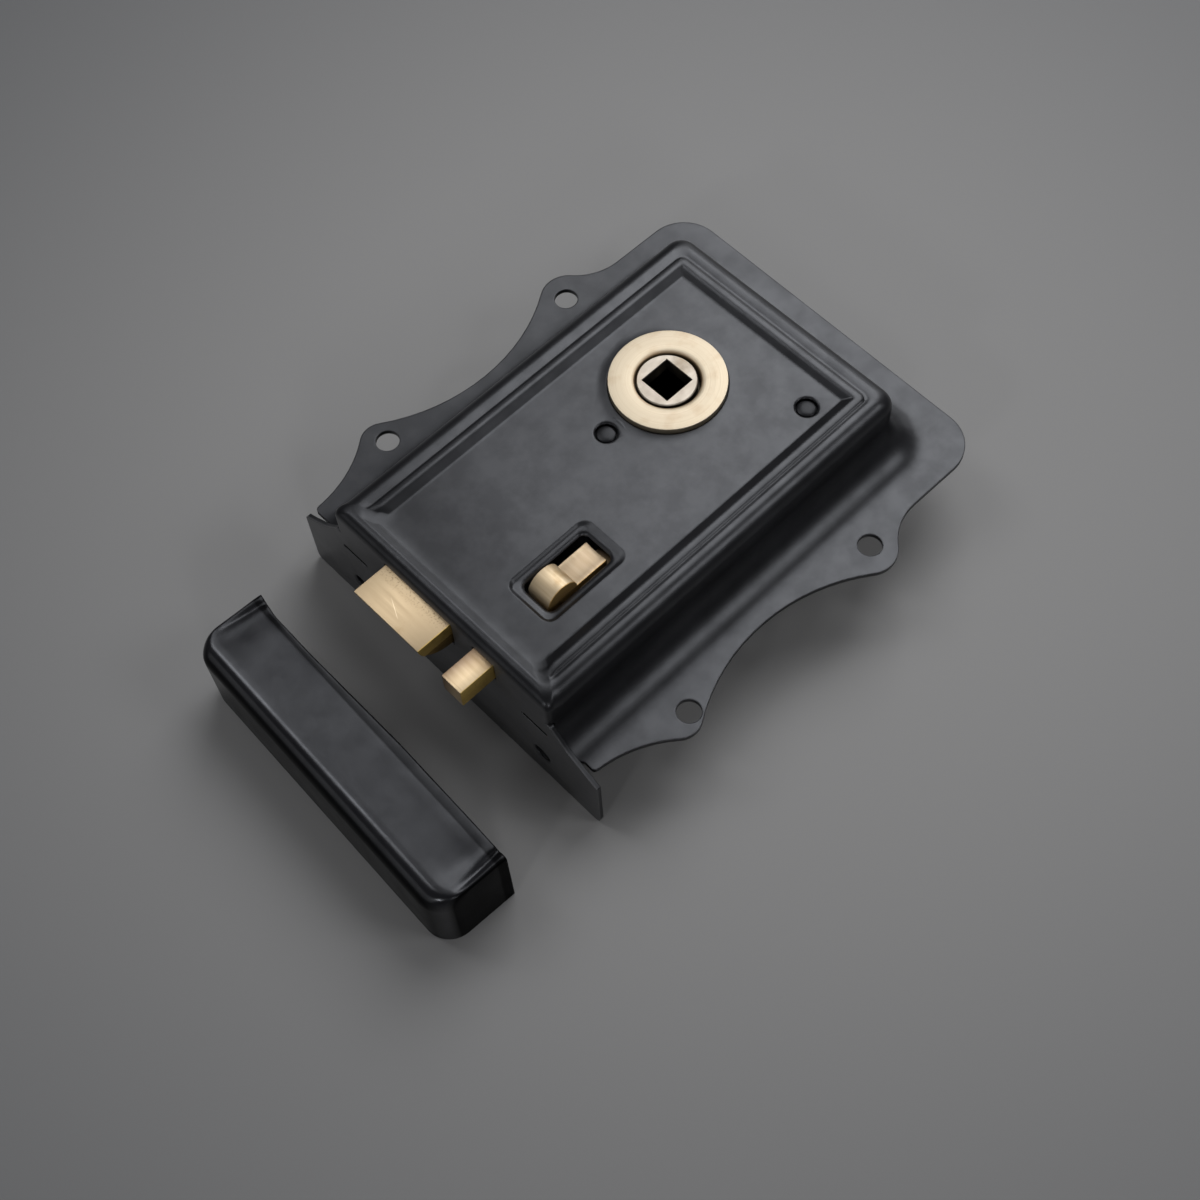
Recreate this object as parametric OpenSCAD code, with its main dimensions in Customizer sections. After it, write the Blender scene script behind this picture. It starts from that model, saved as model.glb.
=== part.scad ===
// Rim box lock with a privacy snib: a pressed steel case with a scalloped flange, a sprung brass latch,
// a small brass snib bolt with its thumb piece, the works inside the case, and the loose box keep.
// The origin is the centre of the four flange holes on the door face. +X is the way the bolts shoot,
// +Z points out of the door. All sizes are in millimetres.

/* [Flange] */
// Spacing of the flange holes along the lock
hole_dx = 59.3; // [57:0.1:62]
// Spacing of the flange holes across the lock
hole_dy = 101.3; // [99.6:0.1:104]
// Diameter of the flange holes
hole_d = 5.8; // [4.5:0.1:6.5]
// Radius of the ear round each rear hole
ear_r = 7; // [6:0.1:8]
// Radius of the ear round each front hole
front_ear_r = 5.4; // [5:0.1:7]
// How far the front ears sit ahead of their holes
front_ear_lead = 1.8; // [0:0.1:2.5]
// Half width of the flange at the waist between the ears
waist_half = 47.5; // [46.5:0.1:48.5]
// Half width of the flange at the forend
front_half = 47.3; // [46:0.1:48.5]
// Half width of the flange behind the ears
back_half = 50.2; // [48.5:0.1:51]
// Run from a rear ear to the straight side behind it
back_run = 16.4; // [13:0.1:19]
// Distance from the origin to the back edge
flange_back = 69.9; // [67:0.1:76]
// Radius of the back corners
back_corner_r = 10; // [6:0.5:14]
// Turn of the blanked outline against the holes, in degrees
flange_turn = -0.8; // [-1.5:0.1:1.5]
// Shift of the blanked outline across the lock
flange_shift = -0.35; // [-0.6:0.05:0.6]

/* [Case] */
// Thickness of the pressed steel
sheet = 1.2; // [1:0.1:1.6]
// Height of the rim above the door face
case_h = 19.9; // [19:0.1:24]
// Half width over the side walls
case_half = 35.3; // [34.5:0.1:37]
// Distance from the origin to the back wall
case_back = 54.9; // [53:0.1:58]
// Radius of the cove at the foot of the walls
cove_r = 10; // [7:0.1:11]
// Radius of the shoulder at the top of the walls
shoulder_r = 4.5; // [3:0.1:5]
// Depth of the panel below the rim
panel_drop = 1.2; // [0.8:0.1:1.6]
// Width of the moulded rim, from a wall to the panel
rim_w = 9.6; // [9:0.1:11]
// Width of the rim at the forend
rim_front = 5.1; // [4:0.1:6.5]
// Distance from a wall to the groove in the rim
groove_in = 5.4; // [5:0.1:6]
// Width of that groove
groove_w = 0.7; // [0.4:0.1:1]
// Width of the bead between the groove and the step down to the panel
bead_w = 2; // [1.2:0.1:2.2]
// How far the panel sits off the middle of the case
panel_shift = 0.5; // [0:0.1:1]

/* [Forend] */
// Distance from the origin to the forend face
forend_x = 56.7; // [55:0.1:60]
// Half length of the forend
forend_half = 49.3; // [48.5:0.1:52]
// Depth of the lip below the door face
lip_h = 19; // [14:0.5:24]
// Radius of the fold from the panel into the forend
fold_r = 2.9; // [1.5:0.1:3.2]
// Spacing of the two screw holes in the lip
lip_hole_dy = 62; // [56:0.5:72]
// Depth of those holes below the door face
lip_hole_drop = 10; // [8:0.1:11]
// Diameter of those holes
lip_hole_d = 4.8; // [4:0.1:5.5]
// Width of the relief slots between flange and forend
relief_w = 0.7; // [0.5:0.1:1.5]
// Length of the relief slots, in from the edge of the flange
relief_len = 5.6; // [3:0.1:6]

/* [Follower] */
// Distance from the forend face to the spindle
backset = 77; // [75:0.1:78]
// Distance of the spindle from the middle of the lock
follower_y = -5.7; // [-7:0.1:-4]
// Side of the square spindle hole
spindle_sq = 8.1; // [7:0.1:8.5]
// Diameter of the follower where it shows in the ring
face_d = 14.3; // [13.5:0.1:15]
// Diameter of the follower inside the case
hub_d = 18; // [16:0.1:19]
// Radius at which the horns push the tail
horn_r = 13; // [12.5:0.1:14.5]
// Width of a horn
horn_w = 5; // [4:0.1:6]
// Outer diameter of the brass ring on the panel
ring_d = 27.9; // [24:0.1:32]
// Thickness of the brass ring
ring_t = 1.8; // [1:0.1:2.2]

/* [Latch] */
// Width of the latch bolt
latch_w = 21.4; // [19:0.1:23]
// Distance of the latch from the middle of the lock
latch_y = -6.4; // [-8:0.1:-5]
// Height of the latch bolt
latch_h = 8.8; // [8:0.1:9.6]
// How far the latch shoots out of the forend
latch_proj = 9.3; // [9:0.1:11]
// Length of the latch bolt
latch_len = 30; // [26:0.5:34]
// Radius of the latch nose
nose_r = 9.8; // [9:0.1:10.8]
// How far the horns draw the latch
latch_travel = 9; // [7:0.1:9]

/* [Latch spring] */
// Wire diameter of the coil
wire_d = 0.9; // [0.6:0.05:1.1]
// Mean diameter of the coil
coil_d = 7; // [6.4:0.1:7.4]
// Turns of the coil
coil_turns = 9; // [7:1:11]

/* [Snib] */
// Width of the snib bolt
snib_w = 6.2; // [5:0.1:7]
// Height of the snib bolt
snib_h = 6.2; // [5:0.1:6.6]
// Distance of the snib bolt from the middle of the lock
snib_y = 14.9; // [14:0.1:17]
// How far the snib bolt shoots out of the forend
snib_proj = 9.3; // [9:0.1:11]
// How far the snib bolt draws back
snib_travel = 9; // [7:0.1:9]
// Distance of the thumb piece from the middle of the lock
thumb_y = 13.6; // [13:0.1:15]
// Place of the thumb piece along the lock
thumb_x = 34.6; // [33:0.1:36]
// Width of the thumb piece
thumb_w = 6.6; // [5:0.1:7.5]
// Radius of the half-round thumb piece
thumb_r = 4.3; // [3.5:0.1:4.8]
// Depth of the dish round the thumb slot
dish_drop = 0.8; // [0.5:0.1:1]

/* [Back plate] */
// Diameter of the two riveted pillars
pillar_d = 6; // [5.5:0.1:7]
// Place of the front pillar along the lock
front_pillar_x = -1; // [-2:0.1:2]
// Place of the front pillar across the lock
front_pillar_y = -6.1; // [-7:0.1:-4.5]
// Distance from the back wall to the rear pillar
rear_pillar_in = 16.9; // [13:0.1:20]
// Place of the rear pillar across the lock
rear_pillar_y = 21.65; // [20:0.05:25]
// Spacing of the two tabs in the forend slits
tab_dy = 60; // [56:0.5:62]
// Width of a tab
tab_w = 7.8; // [6:0.1:9]

/* [Keep] */
// Length of the keep
keep_len = 86.9; // [80:0.1:96]
// Depth of the keep from its mouth
keep_depth = 19.6; // [17:0.1:26]
// Height of the keep
keep_h = 22.4; // [18:0.1:26]
// Distance from the forend to the mouth of the keep
keep_gap = 23.2; // [18:0.1:40]
// Distance of the keep from the middle of the lock
keep_y = 4.5; // [-10:0.05:10]
// Turn of the keep on the bench, in degrees
keep_turn = 2.3; // [0:0.1:5]
// Radius of the outer corners of the keep
keep_corner_r = 5; // [3:0.1:7]
// Radius along the top edges of the keep
keep_edge_r = 2.6; // [1.5:0.1:4]
// Spacing of the two screw holes in the fixing flange of the keep
keep_hole_dy = 60; // [50:0.5:66]

/* [Hidden] */
$fn = 48;
// Facets of the large arcs
fine = 120;

// Clearance between faces that move past each other
clear = 0.4;
// Clearance between pieces that are fixed together
seat = 0.1;
// Spare length of a cut past the face that it opens
over = 1;

// Heights, from the panel down to the back plate
panel_z = case_h - panel_drop;
ceil_z = panel_z - sheet;
dish_z = panel_z - dish_drop;
dish_under = dish_z - sheet;
latch_gap = 1.1;
latch_top = ceil_z - latch_gap;
latch_z = latch_top - latch_h;
tail_t = 1.6;
tail_gap = 0.8;
tail_z = latch_z - tail_t;
plate_top = tail_z - tail_gap;
plate_z = plate_top - sheet;
snib_gap = 0.8;
snib_top = dish_under - snib_gap;
snib_z = snib_top - snib_h;

// Flange
hole_x = hole_dx / 2;
hole_y = hole_dy / 2;
front_x = forend_x - sheet;
front_ear_x = hole_x + front_ear_lead;
back_mid = -hole_x - back_run;
// Each scallop bites this much into its ear, so that the two arcs cross instead of touching
scallop_nick = 0.02;
// The waist scallop is one arc that touches a rear and a front ear
waist_dip = hole_y - waist_half;
waist_a = front_ear_r - ear_r;
waist_b = 2 * (hole_x + front_ear_x) * (front_ear_r + waist_dip);
waist_c = (front_ear_r + waist_dip) * (pow(hole_x + front_ear_x, 2) + waist_dip * waist_dip - ear_r * ear_r)
          - (ear_r + waist_dip) * (waist_dip * waist_dip - front_ear_r * front_ear_r);
waist_x = front_ear_x - 2 * waist_c / (waist_b + sqrt(waist_b * waist_b - 4 * waist_a * waist_c));

// Case sections: the cove runs out a little inside the sheet
cove_sink = 0.05;
cove_z = sheet + cove_r - cove_sink;
inner_half = case_half - sheet;
inner_back = case_back - sheet;
bead_in = groove_in + groove_w + bead_w;
panel_corner_r = 2.5;
groove_corner_r = 2.5;
bead_corner_r = 1;
lip_corner_r = 1.5;
gusset_z = 5.4;
gusset_out = 5;
gusset_top = 10.5;
ear_top = 0.6;

// Follower
follower_x = forend_x - backset;
face_gap = 0.55;
journal_d = 14;
journal_gap = 0.1;
bush_d = 17;
bush_flange_d = 20;
bush_flange_t = 1;
ring_spigot_d = 18;
ring_spigot_sink = 0.3;
ring_chamfer = 0.5;
ring_edge = 0.3;
face_rise = 0.4;
hub_z0 = latch_z + clear;
hub_gap = 0.9;
hub_z1 = ceil_z - hub_gap;
journal_proud = 0.2;
journal_z = plate_z - bush_flange_t - journal_proud;
horn_z0 = hub_z0 + clear;
horn_t = 5;

// Latch and its tail
latch_tip = forend_x + latch_proj;
latch_back = latch_tip - latch_len;
latch_step = 0.35;
latch_step_h = 4.6;
horn_gap = 0.3;
ear_t = 1.6;
ear_near = sqrt(pow(hub_d / 2 + clear, 2) - pow(horn_w / 2 + horn_gap, 2));
ear_out = 2.5;
yoke_half = horn_r + ear_out;
yoke_back_w = 5;
yoke_front_w = 3;
yoke_front = follower_x + journal_d / 2 + clear + latch_travel + yoke_front_w;
yoke_back = follower_x - journal_d / 2 - clear - yoke_back_w;
pillar_slot_half = pillar_d / 2 + clear;
tail_side_w = 3.4;
tail_half = pillar_slot_half + tail_side_w;
tail_lap = 12;
tail_front = latch_back + tail_lap;
rivet_d = 3;
rivet_head_d = 5;
rivet_head_t = 0.4;
rivet_grip = 2.4;
tail_rivet_in = 3.4;
tail_rivet_pitch = 5.4;
tail_rivet_xs = [latch_back + tail_rivet_in, latch_back + tail_rivet_in + tail_rivet_pitch];

// Spring, its lug on the back plate and its spigot on the latch
lug_x = front_pillar_x + pillar_d / 2 + clear;
lug_window = 9;
spring_z = latch_z + 4.4;
spigot_d = 4.4;
spigot_len = 8;
spigot_shank_d = 3;
spigot_shank_len = 6;
coil_x0 = lug_x + sheet + wire_d / 2 + seat;
coil_x1 = latch_back - wire_d / 2 - seat;
coil_rings = 8;
coil_sides = 6;

// Snib bolt, thumb piece, strap and leaf
thumb_foot = 2.9;
thumb_z = snib_top - thumb_foot;
thumb_plate_top = dish_under - clear;
slide_back = thumb_x - thumb_r - snib_travel;
slide_front = thumb_x + thumb_r;
trough_r = 6;
trough_deep = 0.7;
snib_tip = forend_x + snib_proj;
shoulder_gap = 0.5;
snib_shoulder = slide_front + shoulder_gap;
slot_front_gap = 1;
slot_back_gap = 1;
slot_side_gap = 1.6;
slot_r = 1.5;
slot_x0 = slide_back - slot_back_gap;
slot_x1 = slide_front + slot_front_gap;
slot_w = thumb_w + 2 * slot_side_gap;
dish_end = 2.1;
dish_side = 1.9;
dish_r = 3;
keeper_w = 6;
keeper_t = 1;
keeper_foot = 5;
keeper_gap = 1;
keeper_x = slide_back - snib_travel - keeper_gap - keeper_w / 2;
keeper_half = snib_w / 2 + clear;
snib_tail = 2;
snib_back = keeper_x - keeper_w / 2 - snib_tail;
small_rivet_d = 2.5;
small_head_d = 4;
keeper_rivet_ys = [snib_y - keeper_half - keeper_t - keeper_foot / 2,
                   snib_y + keeper_half + keeper_t + keeper_foot / 2];
notch_r = 1.6;
notch_deep = 0.6;
leaf_behind = 4.6;
leaf_x = thumb_x - leaf_behind;
leaf_t = 0.4;
leaf_w = 4;
leaf_half = 9;
leaf_foot = 6;
leaf_gap = 0.3;
leaf_rise = snib_z - leaf_gap - plate_top;
leaf_r = (leaf_half * leaf_half + leaf_rise * leaf_rise) / (2 * leaf_rise);
leaf_rivet_x = leaf_x - leaf_half - leaf_foot / 2;
snib_rivet_y = (snib_y + thumb_y) / 2;
snib_rivet_grip = 2.2;

// Pillars and screws
tenon_d = 4.7;
tenon_hole_d = 5.1;
tenon_sink = 0.35;
screw_d = 3;
screw_deep = 6;
screw_end_gap = 1;
screw_head_d = 5.6;
screw_head_t = 1.8;
screw_slot_w = 0.9;
screw_slot_deep = 0.8;
pillar_places = [[front_pillar_x, front_pillar_y], [-case_back + rear_pillar_in, rear_pillar_y]];

// Keep
keep_flange_w = 9;
keep_hole_d = 4.5;
keep_hole_in = 4.6;
keep_least_r = 0.5;

STEEL_BLACK = "#26282b";
STEEL = "#a9abad";
BRASS = "#c9ad74";

// Radius of the hollow that bites an ear of radius r and dips below its hole over the given run
function scallop_r(r, run, dip) = let (e = r - scallop_nick)
  (run * run + dip * dip - e * e) / (2 * (e + dip));

// Extrusion of a (y, z) section along X, from x0 to x1
module along_x(x0, x1) {
  translate([x0, 0, 0]) rotate([90, 0, 90]) linear_extrude(x1 - x0) children();
}

// Extrusion of an (x, z) section along Y, from y0 to y1
module along_y(y0, y1) {
  translate([0, y1, 0]) rotate([90, 0, 0]) linear_extrude(y1 - y0) children();
}

// Rectangle from one corner to the other
module area(low, high) {
  translate(low) square(high - low);
}

// Rectangle with round corners
module round_area(low, high, r) {
  area([low.x + r, low.y], [high.x - r, high.y]);
  area([low.x, low.y + r], [high.x, high.y - r]);
  for (x = [low.x + r, high.x - r], y = [low.y + r, high.y - r]) translate([x, y]) circle(r);
}

// Upright cylinder between two heights
module post(x, y, d, z0, z1) {
  translate([x, y, z0]) cylinder(d = d, h = z1 - z0);
}

// One scallop of the flange: the web from an ear into it, or the hollow itself
module scallop_web(ear_x, r, mid_x, half) {
  hollow = scallop_r(r, abs(mid_x - ear_x), hole_y - half);
  to = [mid_x - ear_x, half + hollow - hole_y];
  polygon([[ear_x, hole_y], [ear_x, hole_y] + to * r / norm(to), [mid_x, hole_y]]);
}
module scallop_hollow(ear_x, r, mid_x, half) {
  hollow = scallop_r(r, abs(mid_x - ear_x), hole_y - half);
  translate([mid_x, half - scallop_nick + hollow]) circle(hollow, $fn = fine);
}

// One side of the flange outline, from the middle line out
module flange_side() {
  difference() {
    union() {
      area([-flange_back, -over], [front_x + over, hole_y]);
      translate([-hole_x, hole_y]) circle(ear_r);
      translate([front_ear_x, hole_y]) circle(front_ear_r);
      scallop_web(-hole_x, ear_r, waist_x, waist_half);
      scallop_web(front_ear_x, front_ear_r, waist_x, waist_half);
      scallop_web(front_ear_x, front_ear_r, front_x, front_half);
      scallop_web(-hole_x, ear_r, back_mid, back_half);
    }
    scallop_hollow(front_ear_x, front_ear_r, waist_x, waist_half);
    scallop_hollow(front_ear_x, front_ear_r, front_x, front_half);
    scallop_hollow(-hole_x, ear_r, back_mid, back_half);
    area([-flange_back - over, back_half], [back_mid, hole_y + over]);
    difference() {
      area([-flange_back - over, back_half - back_corner_r], [-flange_back + back_corner_r, hole_y + over]);
      translate([-flange_back + back_corner_r, back_half - back_corner_r]) circle(back_corner_r);
    }
  }
}
module flange_outline() {
  difference() {
    translate([0, flange_shift]) rotate(flange_turn) {
      flange_side();
      mirror([0, 1]) flange_side();
    }
    area([front_x, -2 * hole_y], [front_x + 2 * hole_x, 2 * hole_y]);
  }
}

// Rectangle standing on z = 0 with its top corners rounded by r
module arch(half, top, r) {
  area([-half, 0], [half, top - r]);
  area([-half + r, 0], [half - r, top]);
  for (y = [-half + r, half - r]) translate([y, top - r]) circle(r);
}

// Cross section of the case: its outside, and the hollow one sheet inside it
module cross_outside() {
  arch(case_half, case_h, shoulder_r);
  for (s = [0, 1]) mirror([s, 0]) difference() {
    area([0, 0], [case_half + cove_r, cove_z]);
    translate([case_half + cove_r, cove_z]) circle(cove_r);
  }
}
module cross_inside() {
  arch(inner_half, ceil_z, shoulder_r - sheet);
  for (s = [0, 1]) mirror([s, 0]) difference() {
    area([0, -over], [case_half + cove_r, cove_z]);
    translate([case_half + cove_r, cove_z]) circle(cove_r + sheet);
  }
}

// Lengthwise section of the case: its outside with the forend, and the hollow
module long_outside() {
  area([-case_back + shoulder_r, 0], [forend_x - fold_r, case_h]);
  area([-case_back, 0], [forend_x, case_h - max(shoulder_r, fold_r)]);
  area([0, 0], [forend_x, case_h - fold_r]);
  translate([-case_back + shoulder_r, case_h - shoulder_r]) circle(shoulder_r);
  translate([forend_x - fold_r, case_h - fold_r]) circle(fold_r);
  area([front_x, -lip_h], [forend_x, over]);
  difference() {
    area([-case_back - cove_r, 0], [0, cove_z]);
    translate([-case_back - cove_r, cove_z]) circle(cove_r);
  }
}
module long_inside() {
  r = shoulder_r - sheet;
  area([-inner_back + r, -over], [front_x, ceil_z]);
  area([-inner_back, -over], [0, ceil_z - r]);
  translate([-inner_back + r, ceil_z - r]) circle(r);
  difference() {
    area([-case_back - cove_r, -over], [0, cove_z]);
    translate([-case_back - cove_r, cove_z]) circle(cove_r + sheet);
  }
}

// Forend blank: the lip, the case section and the gussets that follow the coves
module forend_outline() {
  difference() {
    cross_outside();
    area([-2 * forend_half, -over], [2 * forend_half, 0]);
  }
  round_area([-forend_half, -lip_h], [forend_half, ear_top], lip_corner_r);
  for (s = [0, 1]) mirror([s, 0])
    polygon([[0, 0], [forend_half - lip_corner_r, 0], [forend_half - lip_corner_r, ear_top],
             [case_half + gusset_out, gusset_z], [case_half, gusset_top], [0, gusset_top]]);
}

// Plan of the moulded rim at a distance in from the walls, open towards the forend
module rim_plan(inset, front, corner) {
  half = case_half - inset;
  back = -case_back + inset;
  translate([0, panel_shift]) {
    area([back + corner, -half], [front, half]);
    area([back, -half + corner], [front, half - corner]);
    for (y = [-half + corner, half - corner]) translate([back + corner, y]) circle(corner);
  }
}
module panel_plan() {
  half = case_half - rim_w;
  translate([0, panel_shift]) {
    area([-case_back + rim_w, -half], [forend_x - rim_front - panel_corner_r, half]);
    round_area([0, -half], [forend_x - rim_front, half], panel_corner_r);
  }
}

// Dish and slot of the thumb piece
module dish_plan(grow) {
  round_area([slot_x0 - dish_end - grow, thumb_y - slot_w / 2 - dish_side - grow],
             [slot_x1 + dish_end + grow, thumb_y + slot_w / 2 + dish_side + grow], dish_r + grow);
}
module slot_plan() {
  round_area([slot_x0, thumb_y - slot_w / 2], [slot_x1, thumb_y + slot_w / 2], slot_r);
}

// Cuts in the forend: bolts, tab slits, lip holes and relief slots
module forend_cuts() {
  along_x(front_x - over, forend_x + over) {
    area([latch_y - latch_w / 2 - clear, latch_z - clear],
         [latch_y + latch_w / 2 + clear, latch_top + clear]);
    area([snib_y - snib_w / 2 - clear, snib_z - clear], [snib_y + snib_w / 2 + clear, snib_top + clear]);
    for (s = [-1, 1])
      area([s * tab_dy / 2 - tab_w / 2 - 2 * seat, plate_z - seat],
           [s * tab_dy / 2 + tab_w / 2 + 2 * seat, plate_top + seat]);
  }
  for (s = [-1, 1]) translate([front_x, s * lip_hole_dy / 2, -lip_hole_drop]) rotate([0, 90, 0]) {
    translate([0, 0, -over]) cylinder(d = lip_hole_d, h = sheet + 2 * over);
    translate([0, 0, sheet / 2]) cylinder(d1 = lip_hole_d, d2 = lip_hole_d + sheet, h = sheet / 2);
  }
  for (s = [0, 1]) mirror([0, s, 0])
    translate([front_x - relief_w, front_half - relief_len, -over])
      cube([relief_w, relief_len + 2 * ear_r, gusset_z + over]);
}

module case() {
  color(STEEL_BLACK) difference() {
    union() {
      linear_extrude(sheet) flange_outline();
      intersection() {
        along_x(-case_back - cove_r, forend_x) cross_outside();
        along_y(-case_half - cove_r, case_half + cove_r) long_outside();
        translate([0, 0, -over]) linear_extrude(case_h + 2 * over) {
          flange_outline();
          area([0, -case_half - cove_r], [forend_x, case_half + cove_r]);
        }
      }
      intersection() {
        along_x(front_x, forend_x) forend_outline();
        along_y(-forend_half - over, forend_half + over) long_outside();
      }
    }
    difference() {
      intersection() {
        along_x(-case_back - cove_r - over, front_x) cross_inside();
        along_y(-case_half - cove_r - over, case_half + cove_r + over) long_inside();
      }
      translate([0, 0, dish_under]) linear_extrude(sheet + dish_drop) dish_plan(sheet);
    }
    translate([0, 0, case_h - panel_drop / 2]) linear_extrude(panel_drop) difference() {
      rim_plan(groove_in, forend_x - rim_front, groove_corner_r);
      rim_plan(groove_in + groove_w, forend_x, groove_corner_r);
    }
    translate([0, 0, case_h - panel_drop / 2]) linear_extrude(panel_drop)
      rim_plan(bead_in, forend_x - rim_front - panel_corner_r, bead_corner_r);
    translate([0, 0, panel_z]) linear_extrude(panel_drop + over) panel_plan();
    translate([0, 0, dish_z]) linear_extrude(dish_drop + panel_drop) dish_plan(0);
    translate([0, 0, dish_under - over]) linear_extrude(sheet + dish_drop + 2 * over) slot_plan();
    for (x = [-hole_x, hole_x], y = [-hole_y, hole_y]) post(x, y, hole_d, -over, sheet + over);
    for (p = pillar_places) post(p.x, p.y, tenon_hole_d, ceil_z - over, case_h + over);
    post(follower_x, follower_y, ring_spigot_d, ceil_z - over, case_h + over);
    forend_cuts();
  }
}

module back_plate() {
  color(STEEL) difference() {
    union() {
      translate([0, 0, plate_z]) linear_extrude(sheet) {
        area([-inner_back + clear, -inner_half + clear], [front_x - seat, inner_half - clear]);
        for (s = [-1, 1])
          area([0, s * tab_dy / 2 - tab_w / 2], [forend_x - seat, s * tab_dy / 2 + tab_w / 2]);
      }
      translate([lug_x, front_pillar_y - pillar_d / 2, plate_z])
        cube([sheet, pillar_d, spring_z + coil_d / 2 - plate_z]);
    }
    translate([lug_x + sheet, front_pillar_y - pillar_d / 2, plate_z - over])
      cube([lug_window, pillar_d, sheet + 2 * over]);
    post(follower_x, follower_y, bush_d, plate_z - over, plate_top + over);
    for (p = pillar_places) post(p.x, p.y, screw_d + clear, plate_z - over, plate_top + over);
    for (y = keeper_rivet_ys) post(keeper_x, y, small_rivet_d + seat, plate_z - over, plate_top + over);
    post(leaf_rivet_x, snib_y, small_rivet_d + seat, plate_z - over, plate_top + over);
  }
}

module back_plate_screws() {
  color(STEEL) for (p = pillar_places) difference() {
    union() {
      post(p.x, p.y, screw_d - seat, plate_z - seat, plate_top + screw_deep - screw_end_gap);
      post(p.x, p.y, screw_head_d, plate_z - screw_head_t, plate_z);
    }
    translate([p.x - screw_head_d, p.y - screw_slot_w / 2, plate_z - screw_head_t - over])
      cube([2 * screw_head_d, screw_slot_w, screw_slot_deep + over]);
  }
}

// Riveted post from the back plate to the panel, with its peened end just below the panel's face
module pillar(p) {
  color(STEEL_BLACK) difference() {
    union() {
      post(p.x, p.y, pillar_d, plate_top, ceil_z);
      post(p.x, p.y, tenon_d, ceil_z - seat, panel_z - tenon_sink);
    }
    post(p.x, p.y, screw_d, plate_top - over, plate_top + screw_deep);
  }
}
module front_pillar() { pillar(pillar_places[0]); }
module rear_pillar() { pillar(pillar_places[1]); }

// Flat ring on the panel with a dished inner edge and a spigot through the panel
module follower_ring() {
  bore = face_d / 2 + face_gap;
  color(BRASS) translate([follower_x, follower_y, 0]) rotate_extrude($fn = fine)
    polygon([[bore, ceil_z - ring_spigot_sink], [ring_spigot_d / 2 - seat / 2, ceil_z - ring_spigot_sink],
             [ring_spigot_d / 2 - seat / 2, panel_z], [ring_d / 2, panel_z],
             [ring_d / 2, panel_z + ring_t - ring_edge], [ring_d / 2 - ring_edge, panel_z + ring_t],
             [bore + ring_chamfer, panel_z + ring_t], [bore, panel_z + ring_t - ring_chamfer]]);
}

module follower_bush() {
  color(BRASS) difference() {
    union() {
      post(follower_x, follower_y, bush_d - seat, plate_z - seat, plate_top);
      post(follower_x, follower_y, bush_flange_d, plate_z - bush_flange_t, plate_z);
    }
    post(follower_x, follower_y, journal_d + 2 * journal_gap,
         plate_z - bush_flange_t - over, plate_top + over);
  }
}

module follower() {
  color(BRASS) difference() {
    union() {
      post(follower_x, follower_y, journal_d, journal_z, hub_z0 + seat);
      post(follower_x, follower_y, hub_d, hub_z0, hub_z1);
      post(follower_x, follower_y, face_d, hub_z1 - seat, case_h + face_rise);
      translate([follower_x, follower_y, horn_z0]) linear_extrude(horn_t) {
        area([-horn_w / 2, -horn_r], [horn_w / 2, horn_r]);
        for (y = [-horn_r, horn_r]) translate([0, y]) circle(d = horn_w);
      }
    }
    translate([follower_x - spindle_sq / 2, follower_y - spindle_sq / 2, journal_z - over])
      cube([spindle_sq, spindle_sq, case_h + face_rise - journal_z + 2 * over]);
  }
}

// Latch bolt: flat on top, with a quarter-round nose underneath, stepped in along its lower sides
module latch_section() {
  centre_z = latch_z + nose_r;
  rise = max(0, centre_z - latch_top);
  centre_x = latch_tip - sqrt(nose_r * nose_r - rise * rise);
  area([latch_back, latch_z], [centre_x, latch_top]);
  intersection() {
    area([latch_back, latch_z], [latch_tip + over, latch_top]);
    union() {
      translate([centre_x, centre_z]) circle(nose_r, $fn = fine);
      area([centre_x, centre_z], [latch_tip, centre_z + nose_r]);
    }
  }
}
module latch_bolt() {
  color(BRASS) difference() {
    along_y(latch_y - latch_w / 2, latch_y + latch_w / 2) latch_section();
    for (y = [latch_y - latch_w / 2 - over, latch_y + latch_w / 2 - latch_step])
      translate([latch_back - over, y, latch_z - over])
        cube([latch_len + 2 * over, latch_step + over, latch_step_h + over]);
    for (x = tail_rivet_xs)
      post(x, front_pillar_y, rivet_d + seat, latch_z - over, latch_z + rivet_grip + seat);
    translate([latch_back - over, front_pillar_y, spring_z]) rotate([0, 90, 0])
      cylinder(d = spigot_shank_d + seat, h = spigot_shank_len + over + seat);
  }
}

// Yoke that rides round the follower, slotted for it and for the front pillar and spring lug
module latch_tail() {
  color(STEEL) difference() {
    union() {
      translate([0, 0, tail_z]) linear_extrude(tail_t) {
        area([yoke_back, follower_y - yoke_half], [yoke_front, follower_y + yoke_half]);
        area([yoke_front - over, front_pillar_y - tail_half], [tail_front, front_pillar_y + tail_half]);
      }
      for (s = [0, 1]) translate([0, follower_y, 0]) mirror([0, s, 0])
        translate([follower_x - horn_w / 2 - horn_gap - ear_t, ear_near, tail_z])
          cube([ear_t, yoke_half - ear_near, horn_z0 + horn_t - tail_z]);
    }
    translate([0, 0, tail_z - over]) linear_extrude(tail_t + 2 * over) {
      area([follower_x, follower_y - journal_d / 2 - clear],
           [follower_x + latch_travel + journal_d / 2 + clear, follower_y + journal_d / 2 + clear]);
      translate([follower_x, follower_y]) circle(journal_d / 2 + clear);
      area([front_pillar_x - pillar_slot_half, front_pillar_y - pillar_slot_half],
           [lug_x + sheet + latch_travel + clear, front_pillar_y + pillar_slot_half]);
    }
    for (x = tail_rivet_xs) post(x, front_pillar_y, rivet_d + seat, tail_z - over, tail_z + tail_t + over);
  }
}
module latch_tail_rivets() {
  color(STEEL) for (x = tail_rivet_xs) {
    post(x, front_pillar_y, rivet_d, tail_z - seat, latch_z + rivet_grip);
    post(x, front_pillar_y, rivet_head_d, tail_z - rivet_head_t, tail_z);
  }
}

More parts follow.
